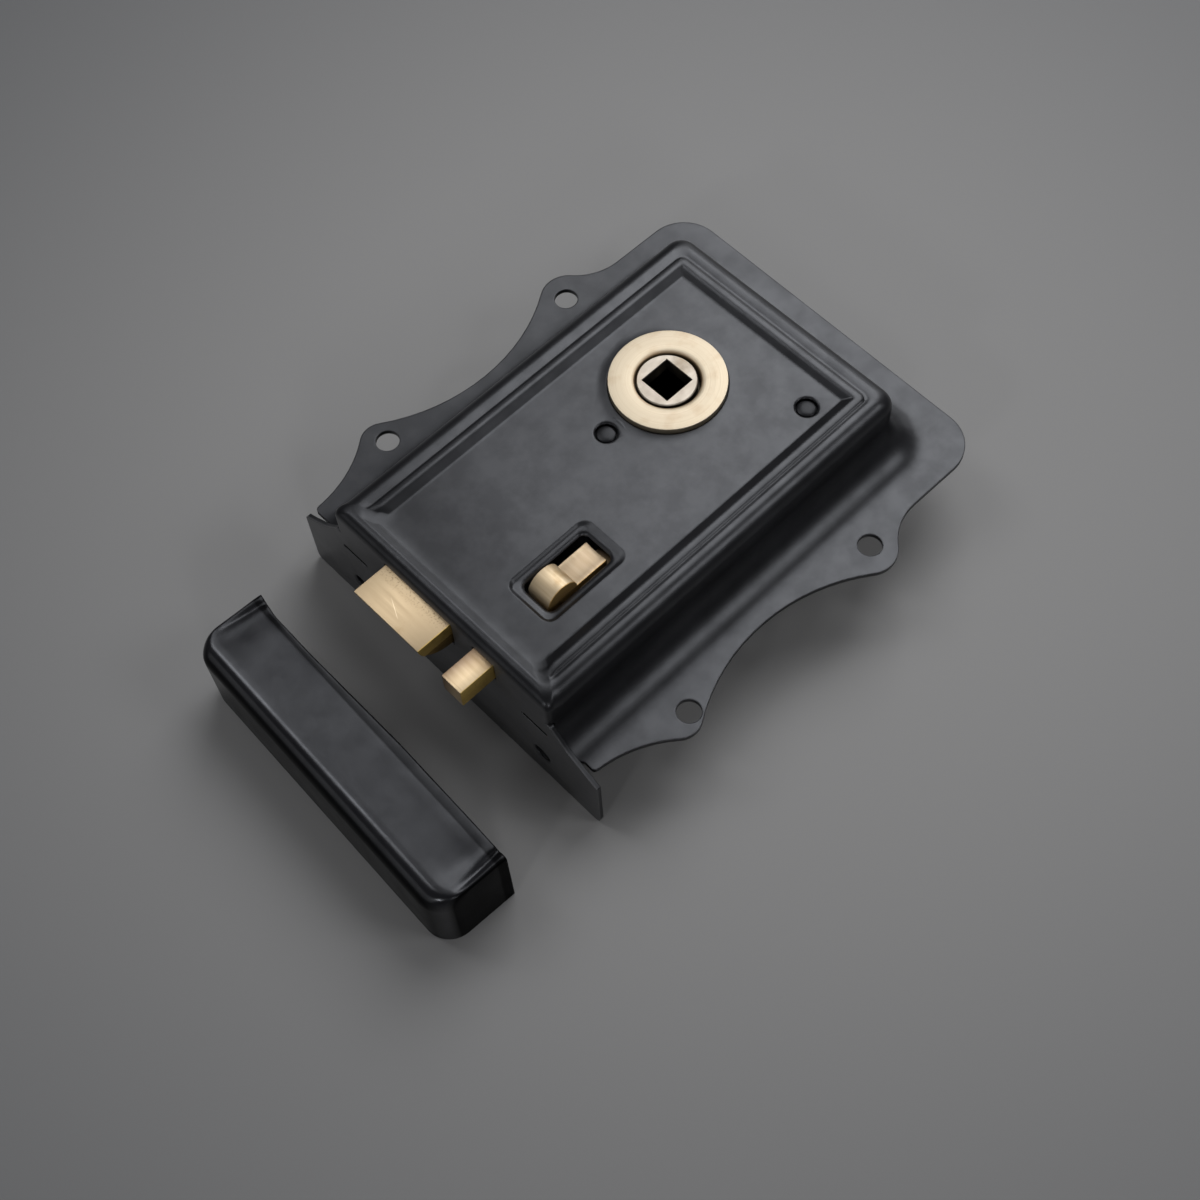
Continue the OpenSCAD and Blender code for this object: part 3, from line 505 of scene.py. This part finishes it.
# Arcs of the flange's outline on one side: centre x and y, degrees
FLANGE_ARCS = (
    (31.45, 50.65, 72.712),
    (2.331, 95.96, -67.943),
    (-29.65, 50.65, 84.078),
    (-46.05, 64.976, -48.862),
)
# The hollow beside the forend comes before these arcs, and the rear corner after them
HOLLOW_X, HOLLOW_Y, HOLLOW_RADIUS = 55.5, 79.327, 32.027
HOLLOW_SWEEP = 39.985
REAR_CORNER_X, REAR_CORNER_Y, REAR_CORNER_RADIUS = -59.9, 40.2, 10.0


def flange_edge(bm, side, lead):
    """The flange's outline on one side, from the front to the rear corner, turned as it lies.

    The lead is the part of the hollow, in degrees, that the relief slit takes away at the front.
    """
    known = set(bm.verts)
    start = math.radians(-90 - lead)
    x = HOLLOW_X + HOLLOW_RADIUS * math.cos(start)
    y = HOLLOW_Y + HOLLOW_RADIUS * math.sin(start)
    first = bm.verts.new(at(x, side * y, SHEET))
    hollow = (HOLLOW_X, side * HOLLOW_Y, SHEET)
    vert = swing(bm, first, hollow, side * -(HOLLOW_SWEEP - lead), steps=10)
    for x, y, degrees in FLANGE_ARCS:
        vert = swing(bm, vert, (x, side * y, SHEET), side * degrees)
    corner = bm.verts.new(at(REAR_CORNER_X, side * (REAR_CORNER_Y + REAR_CORNER_RADIUS), SHEET))
    bm.edges.new((vert, corner))
    last = swing(bm, corner, (REAR_CORNER_X, side * REAR_CORNER_Y, SHEET), side * 90, steps=12)
    turn = Matrix.Rotation(math.radians(FLANGE_TURN), 4, "Z")
    turn = Matrix.Translation(at(0, FLANGE_SHIFT, 0)) @ turn
    move(bm, [v for v in bm.verts if v not in known], turn)
    return first, last


def make_case():
    """Rim, wall, cove, flange, panel, forend and lip."""
    bm = bmesh.new()
    # Rows of the rim: width, rear, front, side height, front height, rear rounding, front rounding
    inner = (
        (25.0, -44.4, 48.5, PANEL_Z, PANEL_Z, 0.3, 2.4),
        (25.5, -44.9, 50.0, 18.71, 18.76, 0.3, 2.4),
        (25.75, -45.1, 50.95, 18.80, 18.88, 0.3, 2.4),
        (27.0, -46.2, 51.5, 19.52, 19.04, 0.4, 2.3),
        (27.5, -46.7, 52.0, 19.78, 19.26, 0.5, 2.2),
        (27.85, -47.1, 52.3, 19.9, 19.38, 0.7, 2.2),
        (28.35, -47.6, 52.6, 19.93, 19.5, 1.2, 2.1),
        (29.1, -48.3, 52.9, 19.84, 19.62, 1.6, 2.0),
        (29.6, -48.9, 53.1, 19.66, 19.70, 1.8, 1.9),
        (29.85, -49.25, 53.25, 19.32, 19.76, 2.0, 1.9),
        (30.4, -49.8, 53.4, 19.42, 19.83, 2.2, 1.8),
    )
    rows = [rim_row(bm, *row, shift=PANEL_SHIFT) for row in inner]
    panel_row = rows[0]
    for k in range(7):
        out = math.sin(math.radians(15 * k))
        fall = math.cos(math.radians(15 * k))
        rows.append(rim_row(bm, CASE_HALF - SHOULDER * (1 - out), CASE_BACK + SHOULDER * (1 - out),
                            FOREND_X - FRONT_SHOULDER * (1 - out), SHOULDER_Z + SHOULDER * fall,
                            FOREND_TOP + FRONT_SHOULDER * fall, CORNER_ROUND - 1.6 * (1 - out),
                            FRONT_ROUND))
    rows.append(rim_row(bm, CASE_HALF, CASE_BACK, FOREND_X, COVE_Z, FOREND_CORNER_Z, CORNER_ROUND,
                        FRONT_ROUND))
    skin(bm, rows)
    # The forend's own face takes the place of the strip that this leaves at the front
    strip = [f for f in bm.faces if all(v.co.x > (FOREND_X - 0.01) * MM for v in f.verts)]
    bmesh.ops.delete(bm, geom=strip, context="FACES_ONLY")
    coves = []
    for k in range(9):
        angle = math.radians(180 + 11.25 * k)
        out = COVE_RADIUS * (1 + math.cos(angle))
        # The wall starts at the forend's rounded corner, and the cove runs into the forend's sheet
        front = FOREND_X - FRONT_ROUND if k == 0 else 55.6 if k < 7 else SLIT_X
        z = SHEET if k == 8 else COVE_Z + COVE_RADIUS * math.sin(angle)
        coves.append(cove_row(bm, CASE_HALF + out, CASE_BACK - out, front, z, CORNER_ROUND + 0.85 * out))
    skin(bm, coves)
    # Flange
    known = set(bm.edges)
    right_front, right_rear = flange_edge(bm, 1, lead=3.24)
    left_front, left_rear = flange_edge(bm, -1, lead=0.87)
    bm.edges.new((right_rear, left_rear))
    for tip in row_ends(coves[-1]):
        bm.edges.new((tip, right_front if tip.co.y > 0 else left_front))
    bmesh.ops.bevel(bm, geom=[right_front, left_front], offset=FLANGE_FRONT_ROUND * MM,
                    offset_type="OFFSET", affect="VERTICES", segments=ROUND_STEPS, profile=0.5, material=-1)
    outline = [e for e in bm.edges if e not in known]
    holes = [circle(bm, x, y, SHEET, HOLE_RADIUS) for x in (-HOLE_X, HOLE_X) for y in (-HOLE_Y, HOLE_Y)]
    flat(bm, outline, coves[-1], *holes)
    # Panel with its dish, rivet holes and the collar round the ring
    dish = [slot_row(bm, grow, z, 2.1, 1.9, 2.2, rear, rise)
            for grow, z, rear, rise in ((0.5, PANEL_Z, 0, 0), (0.3, 18.64, 0.1, 0), (-0.1, 18.26, 0.25, 0.2),
                                        (-0.42, 17.98, 0.4, 0.36), (-0.7, DISH_Z, 0.45, 0.38))]
    dish += [slot_row(bm, grow, z, rounding=1.8, rise=rise)
             for grow, z, rise in ((0.8, 17.88, 0.36), (0.4, 17.8, 0.34), (0.1, 17.62, 0.3),
                                   (-0.25, 17.3, 0.2))]
    skin(bm, dish)
    collar = [circle(bm, *RING, z, r, segments=96)
              for r, z in ((16.8, PANEL_Z), (15.6, 18.8), (14.8, 18.94), (14.2, 19.05), (14.08, 18.9),
                           (14.05, PANEL_Z), (9.0, 18.65))]
    skin(bm, collar)
    sinks = []
    for x, y in RIVETS.values():
        sink = [circle(bm, x, y, z, r) for r, z in ((3.2, PANEL_Z), (2.85, 18.58), (2.6, 18.3))]
        skin(bm, sink)
        sinks.append(sink[0])
    flat(bm, panel_row, dish[0], collar[0], *sinks)
    # Forend and lip: side, height and rounding
    half = [(33.5, FOREND_TOP, 0), (33.5, FOREND_CORNER_Z, 0), (35.4, 10.5, 0.4), (40.3, 5.4, 2.0),
            (47.4, 0.8, 2.0), (49.3, -0.1, 0.8), (49.3, FLOOR_Z, 1.5)]
    around = [(FOREND_X, y, z, r) for y, z, r in half]
    around += [(FOREND_X, -y, z, r) for y, z, r in reversed(half)]
    cuts = [rounded_line(bm, around)]
    # Openings of the latch, the snib and the two tabs of the back plate: sides, heights, rounding
    for y0, y1, z0, z1, r in ((-17.5, 4.7, 7.2, 16.8, 0.5), (11.4, 18.4, 9.3, 16.3, 0.5),
                              (-34.1, -25.9, 3.9, 5.3, 0.3), (25.9, 34.1, 3.9, 5.3, 0.3)):
        corners = ((y0, z0), (y1, z0), (y1, z1), (y0, z1))
        cuts.append(rounded_line(bm, [(FOREND_X, y, z, r) for y, z in corners]))
    for y in (-LIP_HOLE_Y, LIP_HOLE_Y):
        sink = [circle(bm, x, y, LIP_HOLE_Z, r, axis="X") for r, x in ((3.0, FOREND_X), (2.45, 56.25))]
        skin(bm, sink)
        cuts.append(sink[0])
    flat(bm, *cuts)
    settle(bm, up=True)
    case = piece(bm, "case_pressing", "lock", "case", case_black, sharp=None)
    sheet_metal(case)


make_case()


# Turned pieces

FOLLOWER = (-20.3, -5.7)
SPINDLE_HALF = 4.05


def lathe(bm, profile, x, y, steps=96):
    """Turns a closed or open profile of radius, height and rounding about a post at x, y."""
    closed = profile[0][0] > 0
    edges = rounded_line(bm, [(x + r, y, z, c) for r, z, c in profile], closed=closed, steps=4)
    verts = list({v for e in edges for v in e.verts})
    bmesh.ops.spin(bm, geom=edges + verts, cent=at(x, y, 0), axis=(0, 0, 1), dvec=(0, 0, 0),
                   angle=math.radians(360), steps=steps, use_merge=True)


def make_ring():
    """Flat ring with a collar that sits in the panel."""
    bm = bmesh.new()
    lathe(bm, [(7.65, 17.2, 0), (8.9, 17.2, 0), (8.9, 18.7, 0), (13.9, 18.7, 0.05), (13.95, 20.5, 0.15),
               (8.5, 20.5, 0.5), (7.85, 20.2, 0.2), (7.65, 19.5, 0.2)], *RING)
    settle(bm)
    piece(bm, "turned_ring", "lock", "follower_ring", ring_brass, sharp=50)


def make_rivets():
    """Pillars whose riveted ends show in the panel."""
    for node, (x, y) in RIVETS.items():
        bm = bmesh.new()
        lathe(bm, [(0, 5.2, 0), (3.0, 5.2, 0), (3.0, 17.5, 0), (2.35, 17.5, 0), (2.35, 18.0, 0.25),
                   (1.5, 18.3, 0.5), (0, 18.38, 0)], x, y, steps=48)
        settle(bm)
        piece(bm, node + "_rivet", "lock", node, rivet_black, sharp=50)


def make_follower():
    """Stepped hub with two horns and a square hole through it."""
    bm = bmesh.new()
    x, y = FOLLOWER
    levels = ((7.0, 2.8), (7.0, 8.0), (9.0, 8.0), (9.0, 16.6), (7.15, 16.6), (7.15, 20.05), (6.9, 20.3))
    rows = [circle(bm, x, y, z, r, segments=64) for r, z in levels]
    skin(bm, rows)
    sides = ((-1, -1), (1, -1), (1, 1), (-1, 1))
    square = [(x + SPINDLE_HALF * a, y + SPINDLE_HALF * b) for a, b in sides]
    bore = [rounded_line(bm, [(*corner, z, 0.15) for corner in square]) for z in (2.8, 19.9, 20.3)]
    widen = Matrix.Diagonal((1.04, 1.04, 1, 1)) @ Matrix.Translation(at(-x, -y, 0))
    move(bm, list({v for e in bore[2] for v in e.verts}), Matrix.Translation(at(x, y, 0)) @ widen)
    skin(bm, bore)
    flat(bm, rows[0], bore[0])
    flat(bm, rows[-1], bore[-1])
    settle(bm)
    for side in (-1, 1):
        root, end = y + side * 8, y + side * 15.5
        x0, x1 = x - 2.5, x + 2.5
        low, high = 8.4, 13.4
        horn = rounded_line(bm, [(x0, root, low, 0), (x1, root, low, 0),
                                 (x1, end, low, 2.45), (x0, end, low, 2.45)])
        bar(bm, horn, at(0, 0, high - low))
    bmesh.ops.recalc_face_normals(bm, faces=bm.faces)
    piece(bm, "follower_hub", "spindle_follower", "follower", follower_brass)


make_ring()
make_rivets()
make_follower()


# Bolts and thumb piece

LATCH_BACK = 36.0
LATCH_SIDES = (-17.1, 4.3)
LATCH_LOW_SIDES = (-16.75, 3.95)
LATCH_BASE = 7.6
LATCH_SPLIT = 12.2
LATCH_TOP = 16.4
NOSE_X, NOSE_Z = 56.251, 17.4
NOSE_SWEEP = -84.14
SNIB_SIDES = (11.8, 18.0)
SNIB_BASE = 9.7
SNIB_TOP = 15.9
SNIB_TAIL_X = 2.3
SNIB_HEAD_X = 39.4
SNIB_TIP = 66.0
THUMB_X = 34.6
THUMB_HALF = 4.3
THUMB_SIDES = (10.3, 16.9)
GRIP_Z = (16.2, 20.6)
GRIP_ROUND = 4.28
SLIDE_X = 21.3
SLIDE_Z = (13.0, 16.3)
TROUGH_START = 10.79
TROUGH_CENTRE = (13.6, 27.26)
TROUGH_SWEEP = 28.76


def latch_outline(bm, y):
    """Side of the latch: flat on top, with a quarter-round nose underneath."""
    known = set(bm.edges)
    heel = bm.verts.new(at(NOSE_X, y, LATCH_BASE))
    tip = swing(bm, heel, (NOSE_X, y, NOSE_Z), NOSE_SWEEP, axis=(0, 1, 0), steps=20)
    top = bm.verts.new(at(LATCH_BACK, y, LATCH_TOP))
    back = bm.verts.new(at(LATCH_BACK, y, LATCH_BASE))
    for pair in ((tip, top), (top, back), (back, heel)):
        bm.edges.new(pair)
    return [e for e in bm.edges if e not in known]


def make_latch():
    """Upper and lower half of the bolt, the lower one a little narrower."""
    bm = bmesh.new()
    for low, (y0, y1) in ((False, LATCH_SIDES), (True, LATCH_LOW_SIDES)):
        part = bmesh.new()
        bar(part, latch_outline(part, y0), at(0, y1 - y0, 0))
        cut = bmesh.ops.bisect_plane(part, geom=part.verts[:] + part.edges[:] + part.faces[:],
                                     plane_co=at(0, 0, LATCH_SPLIT), plane_no=(0, 0, 1),
                                     clear_outer=low, clear_inner=not low)
        rim = [g for g in cut["geom_cut"] if isinstance(g, bmesh.types.BMEdge)]
        bmesh.ops.edgeloop_fill(part, edges=rim)
        settle(part)
        soften(part, 0.32)
        half = bpy.data.meshes.new("latch_half")
        part.to_mesh(half)
        part.free()
        bm.from_mesh(half)
        bpy.data.meshes.remove(half)
    piece(bm, "latch_head", "latch", "latch_bolt", latch_brass)


def block(bm, x0, x1, y0, y1, z0, z1):
    """A rectangular bar between two corners."""
    middle = Matrix.Translation(at((x0 + x1) / 2, (y0 + y1) / 2, (z0 + z1) / 2))
    stretch = Matrix.Diagonal((*at(x1 - x0, y1 - y0, z1 - z0), 1))
    bmesh.ops.create_cube(bm, size=1, matrix=middle @ stretch)


def make_snib():
    """Square head and the lower tail behind it."""
    bm = bmesh.new()
    block(bm, SNIB_HEAD_X, SNIB_TIP, *SNIB_SIDES, SNIB_BASE, SNIB_TOP)
    block(bm, SNIB_TAIL_X, SNIB_HEAD_X + 0.1, *SNIB_SIDES, SNIB_BASE, SLIDE_Z[0])
    soften(bm, 0.22)
    bmesh.ops.recalc_face_normals(bm, faces=bm.faces)
    piece(bm, "snib_bar", "snib", "snib_bolt", snib_brass)


def make_thumb():
    """Half-round grip on a slide whose rear is troughed."""
    bm = bmesh.new()
    y0, y1 = THUMB_SIDES
    low, high = SLIDE_Z
    x0, x1 = THUMB_X - THUMB_HALF, THUMB_X + THUMB_HALF
    foot, crown = GRIP_Z
    grip = rounded_line(bm, [(x0, y0, foot, 0), (x1, y0, foot, 0),
                             (x1, y0, crown, GRIP_ROUND), (x0, y0, crown, GRIP_ROUND)], steps=12)
    bar(bm, grip, at(0, y1 - y0, 0))
    block(bm, x0, x1, y0, y1, low, high)
    rear = bm.verts.new(at(SLIDE_X, TROUGH_START, high))
    known = set(bm.edges)
    end = swing(bm, rear, (SLIDE_X, *TROUGH_CENTRE), TROUGH_SWEEP, axis=(1, 0, 0), steps=10)
    corners = [bm.verts.new(at(SLIDE_X, y, z)) for y, z in ((y1, high), (y1, low), (y0, low), (y0, high))]
    chain = [end] + corners + [rear]
    for pair in zip(chain, chain[1:]):
        bm.edges.new(pair)
    bar(bm, [e for e in bm.edges if e not in known], at(x0 - SLIDE_X, 0, 0))
    settle(bm)
    soften(bm, 0.18)
    piece(bm, "thumb_grip", "snib", "snib_thumb", thumb_brass)


make_latch()
make_snib()
make_thumb()


# Keep: a folded box, open towards the lock

KEEP_MOUTH = (79.9, 4.5)
KEEP_LEN = 86.9
KEEP_DEPTH = 19.6
KEEP_TOP = 3.4
KEEP_CORNER = {-1: 5.0, 1: 6.5}
KEEP_EDGE = 4.2
KEEP_END_EDGE = 0.8
KEEP_HOLE_X, KEEP_HOLE_Y = 13.8, 30
KEEP_HOLE_RADIUS = 2.25
KEEP_BASE = 9.0


def arc_drop(distance, radius):
    """How far a rounded edge has fallen at this distance from its outer face."""
    if distance >= radius:
        return 0.0
    return radius - math.sqrt(radius * radius - (radius - distance) ** 2)


def keep_profile():
    """Across the keep, from the mouth over the top and down the outer wall: x and height."""
    roll = [(0.0, -0.45), (0.2, -0.27), (0.5, -0.18), (1.0, -0.12), (1.8, -0.06)]
    level = [(x, 0) for x in (3, 5, 7, 9, 11, 12.6, 14.2, KEEP_DEPTH - KEEP_EDGE)]
    points = [(x, KEEP_TOP + z) for x, z in roll + level]
    for k in range(1, 9):
        angle = math.radians(11.25 * k)
        points.append((KEEP_DEPTH - KEEP_EDGE + KEEP_EDGE * math.sin(angle),
                       KEEP_TOP - KEEP_EDGE + KEEP_EDGE * math.cos(angle)))
    return points + [(KEEP_DEPTH, z) for z in (-1.0, -4.0, -8.0, -12.0, -16.0, FLOOR_Z)]


def make_keep():
    """The box row by row along its length, its two ends and its in-turned base."""
    bm = bmesh.new()
    near = (0, 0.1, 0.25, 0.5, 0.8, 1.2, 1.6, 2.0, 2.5, 3.0, 3.6, 4.3, 5.0, 6.0, 7.5, 9.5,
            12, 16, 21, 28, 36)
    half = KEEP_LEN / 2
    places = [-half + d for d in near] + [0.0] + [half - d for d in reversed(near)]
    rows = []
    for y in places:
        end = half - abs(y)
        corner = arc_drop(end, KEEP_CORNER[1 if y > 0 else -1])
        from_far = half + y
        bow = min(1.0, from_far / 7) * max(0.0, min(1.0, (50 - from_far) / 30))
        points = []
        for x, z in keep_profile():
            squeeze = (KEEP_DEPTH - corner) / KEEP_DEPTH
            fall = arc_drop(end, KEEP_END_EDGE)
            open_end = max(0.0, min(1.0, (14.5 - x) / 9))
            crease = math.exp(-((end - 2.6 + 0.09 * x) / 0.8) ** 2) * open_end * (0.75 if y > 0 else 0.4)
            dip = 0.35 * math.exp(-((end - 5.5) / 3.5) ** 2) * open_end
            on_top = max(0.0, min(1.0, (z - KEEP_TOP + KEEP_EDGE) / KEEP_EDGE))
            hollow = 0.08 * math.sin(math.pi * min(x / (KEEP_DEPTH - KEEP_EDGE), 1.0))
            drop = (hollow + fall + crease + dip) * on_top
            points.append((x * squeeze + bow * max(0.0, 1 - x / 4), y, z - drop))
        rows.append(line(bm, points))
    skin(bm, rows)
    for row, y in ((rows[0], -half), (rows[-1], half)):
        ends = sorted(row_ends(row), key=lambda v: v.co.z)
        foot = bm.verts.new(at(0, y, FLOOR_Z))
        closing = [bm.edges.new((ends[0], foot)), bm.edges.new((foot, ends[1]))]
        flat(bm, row, closing)
    settle(bm)
    # In-turned base with two screw holes
    inner = KEEP_DEPTH - KEEP_BASE
    base = rounded_line(bm, [(inner, -half + 1.3, FLOOR_Z, 0),
                             (KEEP_DEPTH - 0.05, -half + 0.05, FLOOR_Z, KEEP_CORNER[-1]),
                             (KEEP_DEPTH - 0.05, half - 0.05, FLOOR_Z, KEEP_CORNER[1]),
                             (inner, half - 1.3, FLOOR_Z, 0)])
    holes = [circle(bm, KEEP_HOLE_X, y, FLOOR_Z, KEEP_HOLE_RADIUS) for y in (-KEEP_HOLE_Y, KEEP_HOLE_Y)]
    made = flat(bm, base, *holes)
    for face in (g for g in made["geom"] if isinstance(g, bmesh.types.BMFace)):
        if face.normal.z > 0:
            face.normal_flip()
    crown = max((f for f in bm.faces if f.calc_center_median().z > 0), key=lambda f: f.calc_area())
    if crown.normal.z < -0.5:
        above = [f for f in bm.faces if f.calc_center_median().z > (FLOOR_Z + 0.01) * MM]
        bmesh.ops.reverse_faces(bm, faces=above)
    turn = Matrix.Rotation(math.radians(-KEEP_TURN), 4, "Z")
    move(bm, bm.verts, Matrix.Translation(at(*KEEP_MOUTH, 0)) @ turn)
    keep = piece(bm, "keep_box", "box_keep", "keep", keep_black, sharp=None)
    sheet_metal(keep, 0.15)


make_keep()


# Coil behind the latch, which rides on the latch's body

COIL_AXIS = (-6.1, 12.0)
COIL_ENDS = (4.15, 35.45)
COIL_TURNS = 9
COIL_RADIUS = 3.5
COIL_WIRE = 0.45
COIL_STEPS = 24


def make_coil():
    """Round wire wound from the lug to the back of the latch."""
    bm = bmesh.new()
    start, end = COIL_ENDS
    y, z = COIL_AXIS
    wire = circle(bm, start, y + COIL_RADIUS, z, COIL_WIRE, segments=12)
    steps = COIL_STEPS * COIL_TURNS
    verts = list({v for e in wire for v in e.verts})
    made = bmesh.ops.spin(bm, geom=wire + verts, cent=at(start, y, z), axis=(1, 0, 0),
                          dvec=at((end - start) / steps, 0, 0),
                          angle=math.radians(360 * COIL_TURNS), steps=steps, use_merge=False)
    last = [g for g in made["geom_last"] if isinstance(g, bmesh.types.BMEdge)]
    for cut in (wire, last):
        bmesh.ops.edgeloop_fill(bm, edges=cut)
    settle(bm)
    coil = piece(bm, "latch_coil", "latch", "latch_spring", spring_steel)
    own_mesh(coil)


make_coil()


# CAD nodes that stay: inner works and back plate

def dress(names, material, edge=0.0):
    """Gives CAD nodes their finish, and soft edges where a width is given."""
    for name in names:
        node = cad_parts[name]
        node.data.materials.clear()
        node.data.materials.append(material)
        if edge:
            weld = node.modifiers.new("weld", "WELD")
            weld.merge_threshold = 0.001 * MM
            soft = node.modifiers.new("soft", "BEVEL")
            soft.width = edge * MM
            soft.segments = 2
            soft.limit_method = "ANGLE"
            soft.angle_limit = math.radians(40)


dress(["back_plate", "back_plate_screws", "snib_keeper"], zinc, 0.12)
dress(["latch_tail", "latch_tail_rivets", "spring_spigot", "snib_rivet", "snib_keeper_rivets",
       "snib_spring_rivet"], zinc)
dress(["snib_spring"], spring_steel)
dress(["follower_bush"], bush_brass, 0.12)


# Floor, light and camera

def make_floor():
    """Grey paper with a painted pool of light: its colour falls off to a darker grey away from the lock."""
    bm = bmesh.new()
    bmesh.ops.create_grid(bm, x_segments=1, y_segments=1, size=4.0,
                          matrix=Matrix.Translation(at(0, 0, FLOOR_Z - 0.02)))
    mesh = bpy.data.meshes.new("floor")
    bm.to_mesh(mesh)
    bm.free()
    floor = bpy.data.objects.new("floor", mesh)
    bpy.context.scene.collection.objects.link(floor)
    paper = Finish("floor_paper_painted_falloff", (0.153, 0.153, 0.154), 0.75)
    # Painted light: near the lock the paper is lighter, and it darkens with distance, a painted falloff of
    # the lamps' light
    paper.set("Base Color", paper.ramp(paper.away((-0.028, -0.001), 0.04, 0.33), (0.163, 0.161, 0.158),
                                       (0.068, 0.069, 0.071), 0.0, 1.0))
    mesh.materials.append(paper.material)


def softbox(name, place, width, height, power):
    """A soft lamp that faces the lock."""
    lamp = bpy.data.lights.new(name, "AREA")
    lamp.shape = "RECTANGLE"
    lamp.size = width
    lamp.size_y = height
    lamp.energy = power
    lamp.color = (0.97, 0.98, 1.0)
    obj = bpy.data.objects.new(name, lamp)
    bpy.context.scene.collection.objects.link(obj)
    obj.location = place
    obj.rotation_euler = (-Vector(place)).to_track_quat("-Z", "Y").to_euler()


def make_camera():
    """The camera as it was fitted to the photograph."""
    camera = bpy.data.cameras.new("camera")
    camera.lens = 54.84
    camera.sensor_width = 36
    camera.clip_start = 0.01
    obj = bpy.data.objects.new("camera", camera)
    bpy.context.scene.collection.objects.link(obj)
    right = Vector((-0.71666, 0.69647, -0.03649))
    up = Vector((-0.62534, -0.61855, 0.47576))
    turn = Matrix((right, up, right.cross(up))).transposed().to_4x4()
    obj.matrix_world = Matrix.Translation(at(152.46, 168.05, 366.67)) @ turn
    bpy.context.scene.camera = obj


make_floor()
softbox("overhead", (-0.62, -0.26, 0.90), 0.74, 0.88, 12.0)
softbox("right", (-0.45, 0.75, 0.75), 0.40, 0.40, 3.2)
softbox("fill", (0.14, -0.62, 0.95), 0.5, 0.5, 1.8)
softbox("ridge", (0.24, -0.52, 0.95), 0.12, 0.50, 1.2)
softbox("rim", (-1.55, -0.6, 0.50), 1.2, 0.8, 3.2)
softbox("front", (1.25, -0.30, 0.42), 1.3, 0.7, 2.4)
softbox("side", (1.00, 0.32, 0.62), 0.11, 0.11, 1.6)
softbox("glint", (0.55, 0.95, 0.60), 0.18, 0.18, 2.2)
make_camera()
world = bpy.data.worlds.new("studio")
bpy.context.scene.world = world
world.use_nodes = True
world.node_tree.nodes["Background"].inputs["Color"].default_value = (0.06, 0.06, 0.063, 1)
bpy.context.scene.view_settings.view_transform = "Standard"
